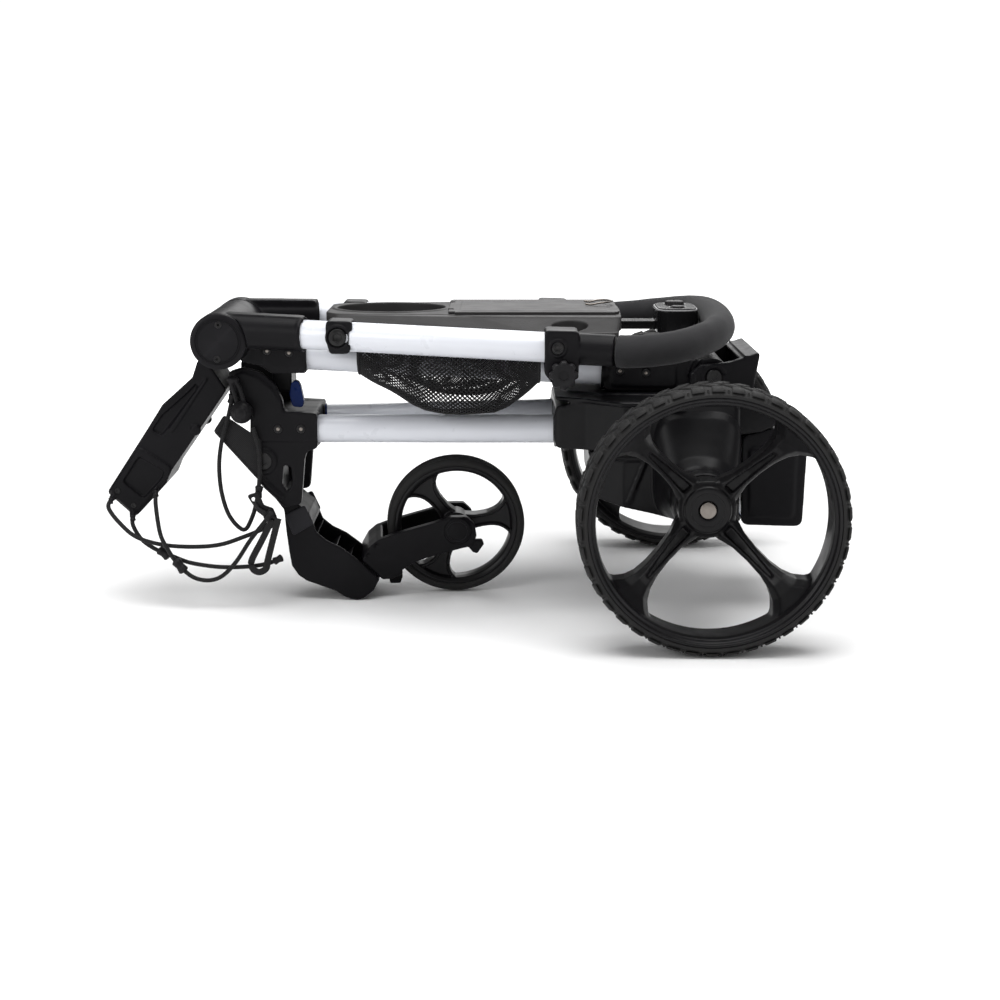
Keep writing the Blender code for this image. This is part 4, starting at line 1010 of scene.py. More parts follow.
# ---------------------------------------------------------------- rear housing and drive
def horn(side, sections):
    """A skin over rings along Y: each section is (Y, centre X, centre Z, half X, half Z, squareness)."""
    bm = bmesh.new()
    rings = []
    steps = 48
    for y, cx, cz, hx, hz, power in sections:
        ring = []
        for k in range(steps):
            c, s = cos(tau * k / steps), sin(tau * k / steps)
            ring.append(bm.verts.new((cx + hx * math.copysign(abs(c) ** power, c), side * y,
                                      cz + hz * math.copysign(abs(s) ** power, s))))
        rings.append(ring)
    for a, b in zip(rings, rings[1:]):
        for i in range(steps):
            j = (i + 1) % steps
            bm.faces.new((a[i], a[j], b[j], b[i]))
    bm.faces.new(rings[0])
    bm.faces.new(rings[-1])
    return from_bmesh("horn", bm)


def rear_housing():
    """The drive housing: a lower and an upper shell, and the flanks that sweep into the drive noses."""
    profile = [(0.112, 0.2475), (0.165, 0.2555), (0.326, 0.2555), (0.328, 0.114), (0.259, 0.117),
               (0.224, 0.126), (0.156, 0.141), (0.152, 0.1960), (0.112, 0.1970)]
    plan = [(0.110, -0.092), (0.150, -0.098), (0.190, -0.130), (0.330, -0.130),
            (0.330, 0.130), (0.190, 0.130), (0.150, 0.098), (0.110, 0.092)]
    hollow_profile = [(0.118, 0.2445), (0.166, 0.2520), (0.322, 0.2520), (0.324, 0.1175), (0.260, 0.1205),
                      (0.226, 0.1295), (0.160, 0.1440), (0.156, 0.2000), (0.118, 0.2005)]
    hollow_plan = [(0.116, -0.088), (0.152, -0.094), (0.192, -0.126), (0.326, -0.126),
                   (0.326, 0.126), (0.192, 0.126), (0.152, 0.094), (0.116, 0.088)]
    split = 0.1955
    halves = []
    for low, high in ((0.05, split - 0.0004), (split + 0.0004, 0.30)):
        shell = prism(profile, -0.14, 0.14, 0.008)
        keep(shell, slab(plan, low, high, 0.010))
        core = prism(hollow_profile, -0.14, 0.14, 0.006)
        keep(core, slab(hollow_plan, 0.04, 0.31, 0.008))
        halves.append(cut(shell, core))
    lower, upper = halves
    lid = slab([(0.112, -0.084), (0.150, -0.104), (0.186, -0.137), (0.262, -0.137), (0.266, -0.120),
                (0.266, 0.120), (0.262, 0.137), (0.186, 0.137), (0.150, 0.104), (0.112, 0.084)], 0.2530,
               0.2580, 0.010)
    crown = slab([(0.128, -0.052), (0.165, -0.072), (0.250, -0.078), (0.250, 0.078), (0.165, 0.072),
                  (0.128, 0.052)], 0.2560, 0.2605, 0.012)
    shoulder = prism([(0.3200, 0.2552), (0.350, 0.2540), (0.3735, 0.2435), (0.3725, 0.2260),
                      (0.3550, 0.2180), (0.3200, 0.2130)], -0.102, 0.102, 0.006)
    uppers = [upper, lid, crown, shoulder]
    lowers = [lower]
    holes = []
    axis = (LOWER_B - LOWER_A).normalized()
    for label, side in SIDES:
        mouth = along(LOWER_A, LOWER_B, 0.1125)
        uppers.append(rod(mirrored(mouth, side), mirrored(mouth + axis * 0.040, side), TUBE_R + 0.0040,
                          64))
        uppers.append(rod(mirrored(mouth - axis * 0.0008, side), mirrored(mouth + axis * 0.0025, side),
                          TUBE_R + 0.0048, 64))
        holes.append(rod(mirrored(LOWER_A, side), mirrored(LOWER_B + axis * 0.002, side),
                         TUBE_R + 0.0002, 96))
        # flank that sweeps out and down into the drive nose
        lowers.append(horn(side, ((0.105, 0.276, 0.1865, 0.0530, 0.0660, 0.42),
                                  (0.128, 0.2765, 0.1850, 0.0520, 0.0650, 0.46),
                                  (0.1360, 0.2770, 0.1800, 0.0500, 0.0600, 0.52),
                                  (0.1440, 0.2775, 0.1725, 0.0470, 0.0530, 0.60),
                                  (0.1520, 0.2780, 0.1645, 0.0440, 0.0470, 0.70),
                                  (0.1600, 0.2790, 0.1570, 0.0410, 0.0415, 0.82),
                                  (0.1690, AXLE_X, 0.1520, 0.0385, 0.0380, 0.95),
                                  (0.1780, AXLE_X, AXLE_Z, 0.0362, 0.0360, 1.0))))
        holes.append(rod((AXLE_X, side * 0.100, AXLE_Z), (AXLE_X, side * 0.181, AXLE_Z), 0.0205, 64))
        for k in (0, 2):        # leaning ribs on the outer panel
            x = 0.163 + 0.0165 * k
            foot = 0.1490 - 0.0045 * k
            rib = [(x, foot), (x + 0.0030, foot - 0.001), (x + 0.0220, 0.1890), (x + 0.0190, 0.1900)]
            inner = 0.096 + 0.013 * k
            lowers.append(prism(rib, side * (inner - 0.004), side * (inner + 0.0105), 0.001))
        lowers.append(prism([(0.158, 0.1890), (0.326, 0.1890), (0.326, 0.1945), (0.158, 0.1945)],
                            side * 0.120, side * 0.1318, 0.002))
        uppers.append(prism([(0.186, 0.1962), (0.326, 0.1962), (0.326, 0.2010), (0.186, 0.2010)],
                            side * 0.120, side * 0.1318, 0.002))
        # sunken panel on the upper side wall
        panel = [(0.196, 0.2060), (0.2215, 0.2060), (0.2215 - 0.004, 0.2440), (0.196 + 0.010, 0.2440)]
        holes.append(prism(panel, side * 0.1290, side * 0.140, 0.002))
    top = cast("housing_top", M["housing"], uppers, [copy_of(h) for h in holes], 0.0016, 4)
    done(top, "chassis", "satin_black_plastic", "housing_upper")
    base = cast("housing_base", M["housing"], lowers, holes, 0.0016, 4)
    done(base, "chassis", "satin_black_plastic", "housing_lower")
    for label, side in SIDES:
        nose = turned([(0.0385, 0.1665), (0.0372, 0.1800), (0.0352, 0.1868), (0.0338, 0.1898),
                       (0.0320, 0.1902), (0.0300, 0.1890), (0.0185, 0.1890), (0.0185, 0.1665)],
                      (AXLE_X, AXLE_Z), side, 96, mat=M["housing"], name=f"drive_nose_{label}")
        done(nose, "chassis", "satin_black_plastic", f"gearbox_{label}")
        for k, (x, z) in enumerate(((0.2035, 0.2390), (0.3125, 0.2390))):
            screw((x, side * 0.1298, z), (0, side, 0), 0.0042, "chassis", f"housing_screw_{k}_{label}",
                  "hex", "bolt")


def hinge_bracket():
    """The bracket behind the housing that the middle tubes turn on, with its hinge bolt."""
    hx, hz = REAR_HINGE
    ear = [(0.270, 0.2562), (0.272, 0.284), (0.284, 0.2945), (0.320, 0.298), (0.350, 0.309),
           (0.354, 0.307), (0.347, 0.2665), (0.3265, 0.2625), (0.3265, 0.2562)]
    lip = [(0.330, 0.3015), (0.352, 0.3095), (0.354, 0.3065), (0.3485, 0.2990), (0.334, 0.2965)]
    solids = [box((0.336, -0.080, 0.2665), (0.348, 0.080, 0.306)), box((0.274, -0.0745, 0.2566),
        (0.324, 0.0745, 0.2588)), prism(lip, -0.080, 0.080, 0.001)]
    holes = [rod((hx, -0.09, hz), (hx, 0.09, hz), 0.0066)]
    for _, side in SIDES:
        solids.append(prism(ear, side * 0.068, side * 0.080, 0.004))
        solids.append(prism([(0.272, 0.2562), (0.273, 0.2835), (0.2775, 0.2835), (0.2775, 0.2562)],
                            side * 0.078, side * 0.0815))
        rim = arc(hx, hz, 0.0148, 20, 200, 14) + arc(hx, hz, 0.0122, 200, 20, 14)
        solids.append(prism(rim, side * 0.079, side * 0.0812))
        holes.append(rod((hx, side * 0.0790, hz), (hx, side * 0.09, hz), 0.0104))
    for k in range(4):
        y = -0.054 + 0.036 * k
        holes.append(box((0.3460, y - 0.012, 0.2720), (0.3490, y + 0.012, 0.2960)))
    tail = cast("tail_bracket", M["black"], solids, holes, 0.0012, 3)
    done(tail, "chassis", "satin_black_plastic", "hinge_bracket")
    pin = turned([(0.0001, -0.0818), (0.0085, -0.0818), (0.0092, -0.0810), (0.0092, -0.0796),
                  (0.0062, -0.0794), (0.0062, 0.0794), (0.0092, 0.0796), (0.0092, 0.0810),
                  (0.0085, 0.0818), (0.0001, 0.0818)], REAR_HINGE, 1, 48, mat=M["bolt"],
                 name="rear_hinge_bolt")
    for _, side in SIDES:
        cut(pin, rod((hx, side * 0.0805, hz), (hx, side * 0.084, hz), 0.0045, 6))
    pin.data.set_sharp_from_angle(angle=radians(40))
    done(pin, "chassis", "brushed_steel", "rear_hinge_pin")


def battery():
    """The battery case and its release button."""
    case = prism([(0.3325, 0.2125), (0.372, 0.2230), (0.410, 0.2020), (0.4065, 0.104), (0.3335, 0.106)],
                 -0.100, 0.100, 0.010)
    solids = [case]
    for _, side in SIDES:      # raised side panels
        solids.append(prism([(0.3420, 0.1980), (0.3970, 0.1980), (0.3950, 0.1150), (0.3430, 0.1170)],
                            side * 0.0990, side * 0.1018, 0.006))
    solids.append(cross([(-0.070, 0.190), (0.070, 0.190), (0.070, 0.120), (-0.070, 0.120)], 0.4060,
                        0.4105, 0.006))
    holes = [box((0.325, -0.095, 0.110), (0.401, 0.095, 0.196)),
             box((0.3762, -0.0202, 0.2035), (0.3978, 0.0202, 0.2400))]     # room for the release button
    for _, side in SIDES:
        holes.append(prism([(0.336, 0.2035), (0.405, 0.2020), (0.405, 0.2005), (0.336, 0.2020)],
                           side * 0.0992, side * 0.103))
    shell = cast("battery_shell", M["black"], solids, holes, 0.0014, 4)
    done(shell, "battery", "satin_black_plastic", "battery_case")
    grip = [box((0.378, -0.018, 0.2095), (0.396, 0.018, 0.2225))]
    button = cast("battery_release", M["blue"], grip, [box((0.3815 + 0.004 * k, -0.013, 0.2218),
        (0.3830 + 0.004 * k, 0.013, 0.2240)) for k in range(3)], 0.0007, 3)
    done(button, "battery_button", "blue_plastic", "battery_button")


# ---------------------------------------------------------------- middle layer
def middle_layer():
    """The head of the middle tubes, at the front."""
    hx, hz = UPPER_HINGE
    solids = [rod((hx, -KNUCKLE_HALF, hz), (hx, KNUCKLE_HALF, hz), 0.0325, 96)]
    neck = [(-0.262, 0.2960), (-0.240, 0.2915), (-0.226, 0.2820), (-0.184, 0.2820), (-0.184, 0.3200),
            (-0.245, 0.3225), (-0.262, 0.330)]
    solids.append(prism(neck, -0.058, 0.058, 0.003))
    solids.append(box((-0.229, -0.028, 0.2560), (-0.205, 0.028, 0.2870)))
    lug = [(-0.300, 0.306), (-0.3105, 0.2975), (-0.3025, 0.2885), (-0.291, 0.297)]
    solids.append(prism(lug, -0.030, 0.030))
    cx, cz = CRADLE_HINGE
    solids.append(rod((cx, -0.030, cz), (cx, 0.030, cz), 0.0060, 32))
    holes = [rod((hx, -0.10, hz), (hx, 0.10, hz), 0.0083),
             rod((cx, -0.05, cz), (cx, 0.05, cz), 0.0032, 32)]
    for _, side in SIDES:
        panel = [(-0.2380, 0.3180), (-0.2340, 0.2960), (-0.2230, 0.2870), (-0.1885, 0.2870),
                 (-0.1885, 0.3160)]
        solids.append(prism(panel, side * 0.0570, side * 0.0592, 0.003))
        holes.append(rod(mirrored(MIDDLE_A, side), mirrored(MIDDLE_B, side), TUBE_R + 0.0002, 96))
    head = cast("hinge_head", M["black"], solids, holes, 0.0013, 3)
    done(head, "middle_frame", "satin_black_plastic", "middle_head")
    for _, side in SIDES:
        for k, (x, z) in enumerate(((-0.2303, 0.3090), (-0.2042, 0.3066))):
            screw((x, side * 0.0590, z), (0, side, 0), 0.0048, "middle_frame", f"head_screw_{k}_{side}",
                  "hex", "steel")
    profile = [(0.0001, -0.1104), (0.0235, -0.1104), (0.0240, -0.1098), (0.0262, -0.1098),
               (0.0268, -0.1106), (0.0305, -0.1106), (0.0325, -0.1092), (0.0325, -0.1068),
               (0.0080, -0.1068)]
    profile += [(r, -y) for r, y in profile[::-1]]
    cap = turned(profile, UPPER_HINGE, 1, 128, mat=M["black"], name="hinge_caps")
    cap.data.set_sharp_from_angle(angle=radians(40))
    done(cap, "middle_frame", "satin_black_plastic", "upper_hinge_pin")
    for _, side in SIDES:
        for k, (x, z) in enumerate(((-0.2799, 0.3452), (-0.2823, 0.3052))):
            screw((x, side * 0.1102, z), (0, side, 0), 0.0042, "middle_frame", f"cap_screw_{k}_{side}",
                  "hex", "bolt", 0.0010)
    middle_heel()


def middle_heel():
    """The heel of the middle tubes, at the rear hinge."""
    rx, rz = REAR_HINGE
    heel = [(0.171, 0.2625), (0.171, 0.3025), (0.262, 0.3015), (0.296, 0.2960), (0.296, 0.2615)]
    solids = [prism(heel, -0.0650, 0.0650, 0.005), rod((rx, -0.066, rz), (rx, 0.066, rz), 0.0205, 96)]
    holes = [rod((rx, -0.09, rz), (rx, 0.09, rz), 0.0066)]
    axis = (MIDDLE_B - MIDDLE_A).normalized()
    for _, side in SIDES:
        mouth = along(MIDDLE_A, MIDDLE_B, 0.1725)
        solids.append(rod(mirrored(mouth - axis * 0.003, side), mirrored(mouth + axis * 0.022, side),
                          TUBE_R + 0.0038, 64))
        solids.append(rod(mirrored(mouth - axis * 0.0045, side), mirrored(mouth + axis * 0.0015, side),
                          TUBE_R + 0.0050, 64))
        panel = [(0.1800, 0.2680), (0.1800, 0.2985), (0.2560, 0.2975), (0.2560, 0.2665)]
        solids.append(prism(panel, side * 0.0640, side * 0.0668, 0.006))
        recess = [(0.1815, 0.2960), (0.1900, 0.2880), (0.1985, 0.2960), (0.1955, 0.2975),
                  (0.1900, 0.2925), (0.1845, 0.2975)]
        holes.append(prism(recess, side * 0.0655, side * 0.070, 0.001))
        holes.append(rod((0.1897, side * 0.0655, 0.2859), (0.1897, side * 0.070, 0.2859), 0.0062, 32))
        holes.append(rod((0.2206, side * 0.0655, 0.2835), (0.2206, side * 0.070, 0.2835), 0.0062, 32))
        holes.append(rod(mirrored(MIDDLE_A, side), mirrored(MIDDLE_B, side), TUBE_R + 0.0002, 96))
        for radius in (0.0300, 0.0250):
            rim = arc(rx, rz, radius, 95, 178, 12) + arc(rx, rz, radius - 0.0018, 178, 95, 12)
            solids.append(prism([(x, min(z, 0.3000)) for x, z in rim], side * 0.0640, side * 0.0664))
    piece = cast("frame_heel", M["black"], solids, holes, 0.0013, 3)
    done(piece, "middle_frame", "satin_black_plastic", "middle_heel")
    for _, side in SIDES:
        for k, (x, z) in enumerate(((0.1897, 0.2859), (0.2206, 0.2835))):
            screw((x, side * 0.0656, z), (0, side, 0), 0.0048, "middle_frame", f"heel_screw_{k}_{side}",
                  "hex", "steel", 0.0010)


# ---------------------------------------------------------------- handle layer
def handle_arms():
    """The two arms that join the handle tubes to the upper hinge."""
    hx, hz = UPPER_HINGE
    slope = (HANDLE_B.y - HANDLE_A.y) / (HANDLE_B.x - HANDLE_A.x)
    for label, side in SIDES:
        end = -0.180 if side < 0 else -0.186
        disc = rod((hx, side * (KNUCKLE_HALF + 0.0003), hz), (hx, side * DISC_OUT, hz), 0.0330, 96)
        arm = prism([(-0.276, 0.3578), (-0.240, 0.3568), (end, 0.3550), (end, 0.3165), (-0.266, 0.3165)],
                    side * (KNUCKLE_HALF + 0.0003), side * (DISC_OUT - 0.010), 0.004)
        for vertex in arm.data.vertices:
            vertex.co.y += side * slope * (vertex.co.x - hx)
        axis = (HANDLE_B - HANDLE_A).normalized()
        foot = along(HANDLE_A, HANDLE_B, -0.268)
        tip = along(HANDLE_A, HANDLE_B, end)
        sleeve = rod(mirrored(foot, side), mirrored(tip, side), 0.0202, 96)
        rim = rod(mirrored(tip - axis * 0.004, side), mirrored(tip + axis * 0.0004, side), 0.0208, 96)
        holes = [rod(mirrored(HANDLE_A, side), mirrored(HANDLE_B, side), TUBE_R + 0.0002, 96),
                 rod((hx, side * 0.06, hz), (hx, side * 0.14, hz), 0.0083),
                 rod((hx, side * DISC_OUT, hz), (hx, side * 0.14, hz), 0.0333, 96)]
        piece = cast(f"handle_knuckle_{label}", M["black"], [disc, arm, sleeve, rim], holes, 0.0012, 3)
        done(piece, "handle_frame", "satin_black_plastic", f"handle_arm_{label}")


def front_clamp():
    """The clamp that holds the console on the handle tubes at the front."""
    at = along(HANDLE_A, HANDLE_B, -0.137).y
    solids = [box((-0.148, -at, 0.3200), (-0.126, at, 0.3275))]
    holes = []
    for _, side in SIDES:
        shape = [(-0.1525, 0.3530), (-0.1220, 0.3525), (-0.1220, 0.3310), (-0.1260, 0.3150),
                 (-0.1485, 0.3150), (-0.1525, 0.3310)]
        solids.append(prism(shape, side * (at - 0.021), side * (at + 0.0195), 0.005))
        holes.append(rod(mirrored(HANDLE_A, side), mirrored(HANDLE_B, side), TUBE_R + 0.0002, 96))
        solids.append(rod((-0.1392, side * (at + 0.015), 0.3341),
                          (-0.1392, side * (at + 0.0212), 0.3341), 0.0142, 64))
    holes += [rod((-0.1392, side * (at + 0.0190), 0.3341), (-0.1392, side * (at + 0.03), 0.3341),
                  0.0118, 64) for _, side in SIDES]
    piece = cast("console_clamp", M["black"], solids, holes, 0.0012, 3)
    done(piece, "handle_frame", "satin_black_plastic", "front_clamp")
    for label, side in SIDES:
        screw((-0.1392, side * (at + 0.0190), 0.3341), (0, side, 0), 0.0108, "handle_frame",
              f"clamp_bolt_{label}", "hex", "bolt", 0.0030)


def rear_clamp():
    """The clamp at the end of the handle tubes, with its knobs."""
    at = along(HANDLE_A, HANDLE_B, 0.116).y
    shape = [(0.097, 0.3490), (0.1352, 0.3480), (0.1352, 0.3000), (0.126, 0.2850), (0.109, 0.2850),
             (0.097, 0.3000)]
    solids, holes = [box((0.103, -at, 0.3100), (0.130, at, 0.3230))], []
    for _, side in SIDES:
        solids.append(prism(shape, side * (at - 0.024), side * (at + 0.0225), 0.005))
        solids.append(rod((0.1117, side * (at + 0.0205), 0.3290),
                          (0.1117, side * (at + 0.0240), 0.3290), 0.0100, 64))
        holes.append(rod((0.1117, side * (at + 0.0225), 0.3290), (0.1117, side * (at + 0.03), 0.3290),
                         0.0078, 64))
        holes.append(box((0.0950, side * (at + 0.0190) if side > 0 else -(at + 0.03), 0.3110),
                         (0.1375, at + 0.03 if side > 0 else -(at + 0.0190), 0.3126)))
        start, end = along(HANDLE_A, HANDLE_B, 0.1300), along(HANDLE_A, HANDLE_B, 0.1762)
        solids.append(rod(mirrored(start, side), mirrored(end, side), 0.0179, 96))
        holes.append(rod(mirrored(HANDLE_A, side), mirrored(along(HANDLE_A, HANDLE_B, 0.1271), side),
                         TUBE_R + 0.0002, 96))
    piece = cast("height_clamp", M["black"], solids, holes, 0.0012, 3)
    done(piece, "handle_frame", "satin_black_plastic", "rear_clamp")
    for label, side in SIDES:
        screw((0.1117, side * (at + 0.0226), 0.3290), (0, side, 0), 0.0072, "handle_frame",
              f"clamp_star_{label}", "star", "bolt", 0.0018)
        lobed_knob(label, side, at)


def lobed_knob(label, side, at):
    """A hand knob with eight lobes, a domed face and a hexagon let into it."""
    cx, cz = 0.1180, 0.3000
    lobes, steps = 8, 128
    # (distance out from the clamp, radius, depth of the dips between the lobes)
    stations = ((0.0234, 0.0118, 0.0), (0.0260, 0.0150, 0.0016), (0.0285, 0.0163, 0.0029),
                (0.0330, 0.0164, 0.0030), (0.0352, 0.0156, 0.0026), (0.0364, 0.0140, 0.0012),
                (0.0368, 0.0110, 0.0))
    rings = []
    bm = bmesh.new()
    for y, radius, depth in stations:
        ring = []
        for k in range(steps):
            turn = tau * k / steps
            r = radius - depth * (0.5 - 0.5 * cos(lobes * turn)) ** 2.2
            ring.append(bm.verts.new((cx + r * cos(turn), side * (at + y), cz + r * sin(turn))))
        rings.append(ring)
    for a, b in zip(rings, rings[1:]):
        for i in range(steps):
            j = (i + 1) % steps
            bm.faces.new((a[i], a[j], b[j], b[i]))
    bm.faces.new(rings[0])
    bm.faces.new(rings[-1])
    knob = from_bmesh(f"hand_knob_{label}", bm, M["toggle"], True)
    cut(knob, rod((cx, side * (at + 0.0350), cz), (cx, side * (at + 0.04), cz), 0.0062, 6))
    knob.data.set_sharp_from_angle(angle=radians(38))
    done(knob, f"knob_{label}", "satin_black_plastic", f"knob_{label}")


def grip_route():
    """Centre line of the grip, from the near clamp round to the far one."""
    leg = [(0.1784, 0.1961, 0.3252), (0.1900, 0.1988, 0.3249), (0.218, 0.2000, 0.3265),
           (0.250, 0.1920, 0.3305), (0.280, 0.1640, 0.3360), (0.2985, 0.1200, 0.3405),
           (0.3060, 0.0620, 0.3430)]
    crest = Vector((0.3075, 0.0, 0.3440))
    return [mirrored(p, -1) for p in leg] + [crest] + [mirrored(p, 1) for p in leg[::-1]]


def grip():
    """The foam grip loop."""
    path = smooth_path(grip_route(), 10)
    count = len(path)
    bm = bmesh.new()
    rings = []
    for i, point in enumerate(path):
        tangent = (path[min(i + 1, count - 1)] - path[max(i - 1, 0)]).normalized()
        flat = tangent.cross(Vector((0, 0, 1))).normalized()
        up = flat.cross(tangent)
        ends = min(i, count - 1 - i)
        radius = 0.0183 - 0.0022 * max(0.0, 1 - ends / 2.0) ** 2
        ring = []
        for k in range(48):
            c, s = cos(tau * k / 48), sin(tau * k / 48)
            spot = point + flat * radius * c + up * radius * s
            dent = 0.00035 * noise.noise(spot * 55)
            ring.append(bm.verts.new(spot + (flat * c + up * s) * dent))
        rings.append(ring)
    for a, b in zip(rings, rings[1:]):
        for i in range(48):
            bm.faces.new((a[i], a[(i + 1) % 48], b[(i + 1) % 48], b[i]))
    bm.faces.new(rings[0])
    bm.faces.new(rings[-1])
    foam = from_bmesh("grip_loop", bm, M["foam"], True)
    done(foam, "handle_frame", "grip_foam", "foam_grip")


def control_pod():
    """The control pod with its trim ring, speed dial and start button."""
    outline = [(0.236, -0.030), (0.287, -0.030), (0.287, 0.062), (0.236, 0.062)]
    body = slab(outline, 0.3262, 0.3535, 0.022)
    top = slab([(0.2385, -0.0275), (0.2845, -0.0275), (0.2845, 0.0595), (0.2385, 0.0595)], 0.3525,
               0.3560, 0.020)
    post = box((0.1843, 0.002, 0.3285), (0.240, 0.034, 0.3385))
    holes = [rod((0.262, 0.036, 0.3480), (0.262, 0.036, 0.37), 0.0125), rod((0.262, -0.006, 0.3460),
        (0.262, -0.006, 0.37), 0.0092)]
    pod = cast("pod_body", M["pod"], [body, top, post], holes, 0.0009, 4)
    done(pod, "handle_frame", "satin_black_plastic", "control_pod")
    frame_ring = cut(slab([(0.2365, -0.0295), (0.2865, -0.0295), (0.2865, 0.0615), (0.2365, 0.0615)],
                          0.3520, 0.3545, 0.022), slab([(0.2383, -0.0277), (0.2847, -0.0277),
                                                        (0.2847, 0.0597), (0.2383, 0.0597)], 0.3500,
                                                       0.3580, 0.020))
    rim = crisp("pod_trim", M["pod_rim"], [frame_ring], bevel=0.0004)
    done(rim, "handle_frame", "console_grey_plastic")
    profile = [(0.0, 0.3485), (0.0118, 0.3485), (0.0120, 0.3560), (0.0112, 0.3592), (0.0096, 0.3600),
                  (0.0, 0.3602)]
    dial = lathe_z(profile, (0.262, 0.036), "dial", M["toggle"], 24, 0.0006)
    cut(dial, box((0.2612, 0.0375, 0.3592), (0.2628, 0.0470, 0.3610)))
    dial.data.set_sharp_from_angle(angle=radians(35))
    done(dial, "speed_dial", "console_grey_plastic", "speed_dial")
    button = lathe_z([(0.0, 0.3525), (0.0079, 0.3525), (0.0079, 0.3568), (0.0070, 0.3578),
                      (0.0050, 0.3574), (0.0, 0.3570)], (0.262, -0.006), "start_button", M["toggle"], 0,
                     0.0)
    done(button, "power_button", "blue_plastic", "power_button")


def lathe_z(profile, centre, name, mat, flutes, depth):
    """A profile of (radius, Z) turned about an upright axis, with optional flutes round its side."""
    bm = bmesh.new()
    steps = 96
    rings = []
    for r, z in profile:
        if r < 1e-6:
            rings.append([bm.verts.new((centre[0], centre[1], z))])
            continue
        ring = []
        for k in range(steps):
            turn = tau * k / steps
            fluted = flutes and z > profile[1][1] + 0.001
            radius = r - (depth * (0.5 + 0.5 * cos(flutes * turn)) if fluted else 0)
            ring.append(bm.verts.new((centre[0] + radius * cos(turn), centre[1] + radius * sin(turn), z)))
        rings.append(ring)
    for a, b in zip(rings, rings[1:]):
        for i in range(steps):
            j = (i + 1) % steps
            if len(a) == 1:
                bm.faces.new((a[0], b[i], b[j]))
            elif len(b) == 1:
                bm.faces.new((a[i], b[0], a[j]))
            else:
                bm.faces.new((a[i], b[i], b[j], a[j]))
    return from_bmesh(name, bm, mat, True)


SHELF = [(-0.156, -0.060), (-0.140, -0.093), (0.090, -0.147), (0.184, -0.147), (0.184, 0.147),
         (0.090, 0.147), (-0.140, 0.093), (-0.156, 0.060)]
DECK = [(-0.160, -0.050), (-0.146, -0.070), (-0.020, -0.074), (0.020, -0.100), (0.188, -0.112),
        (0.192, 0.0), (0.188, 0.112), (0.020, 0.100), (-0.020, 0.074), (-0.146, 0.070), (-0.160, 0.050)]


def hull(points):
    """The convex solid round a set of points."""
    bm = bmesh.new()
    verts = [bm.verts.new(point) for point in points]
    bmesh.ops.convex_hull(bm, input=verts)
    bmesh.ops.delete(bm, geom=[v for v in bm.verts if not v.link_faces], context="VERTS")
    return from_bmesh("hull", bm)


def console():
    """The console tray, its lid and the wire clip on the lid."""
    flange = slab(SHELF, 0.3280, 0.3400, 0.015)
    deck = slab(DECK, 0.3380, 0.3545, 0.012)
    shoulder = hull([(x, y, 0.3385) for x, y in rounded(SHELF, 0.015)] + [(x, y, 0.3535) for x,
        y in rounded(DECK, 0.012)])
    lip = slab([(-0.085 + 0.0705 * cos(t * tau / 64), 0.0625 * sin(t * tau / 64)) for t in range(64)],
               0.3500, 0.3560)
    skirt = slab([(-0.152, -0.060), (-0.137, -0.089), (0.090, -0.143), (0.180, -0.143), (0.180, 0.143),
                  (0.090, 0.143), (-0.137, 0.089), (-0.152, 0.060)], 0.3235, 0.3300, 0.013)
    mouth = slab([(-0.085 + 0.0655 * cos(t * tau / 64), 0.0575 * sin(t * tau / 64)) for t in range(64)],
                 0.30, 0.38)
    holes = [mouth, box((0.006, -0.070, 0.3330), (0.176, 0.070, 0.3700)), box((-0.118, -0.052, 0.31),
        (0.176, 0.052, 0.3270))]
    for side in (-1, 1):
        holes.append(slab([(0.127 + 0.021 * cos(t * tau / 48), side * 0.127 + 0.013 * sin(t * tau / 48))
                           for t in range(48)], 0.3305, 0.38))
        holes.append(rod((0.1275, side * 0.127, 0.32), (0.1275, side * 0.127, 0.335), 0.0026, 24))
        holes.append(box((0.1030, min(side * 0.118, side * 0.150), 0.32),
                         (0.1300, max(side * 0.118, side * 0.150), 0.3262)))
    tray = cast("console_shell", M["console"], [flange, deck, shoulder, lip, skirt], holes, 0.0012, 3)
    done(tray, "handle_frame", "console_grey_plastic", "console_tray")
    cover = slab([(-0.014, -0.082), (0.182, -0.082), (0.188, -0.070), (0.188, 0.078), (-0.014, 0.078)],
                 0.3549, 0.3577, 0.006)
    band = slab([(0.0, -0.070), (0.174, -0.070), (0.174, 0.066), (0.0, 0.066)], 0.3570, 0.3582, 0.008)
    tabs = [box((-0.0145, y - 0.006, 0.3549), (-0.0085, y + 0.006, 0.3592)) for y in (-0.045, 0.045)]
    lid = cast("console_cover", M["lid"], [cover, band, *tabs], [box((-0.016, -0.0835, 0.352),
        (-0.006, -0.074, 0.362))], 0.0008, 2)
    done(lid, "console_lid", "console_grey_plastic", "console_lid")
    wire = smooth_path([(0.150, -0.010, 0.3601), (0.158, -0.010, 0.3596), (0.168, -0.010, 0.3615),
                        (0.178, -0.004, 0.3620), (0.1835, 0.010, 0.3619), (0.178, 0.024, 0.3620),
                        (0.168, 0.030, 0.3615), (0.158, 0.030, 0.3596), (0.150, 0.030, 0.3601)], 6)
    clip = gather("pencil_clip", [bar(wire, 0.0011, 12)], M["steel"])
    clip.data.shade_smooth()
    done(clip, "console_lid", "brushed_steel", "card_clip")


# ---------------------------------------------------------------- net basket
NET_PITCH = 0.0050          # width of one diamond
NET_WIRE = 0.00078          # radius of one strand


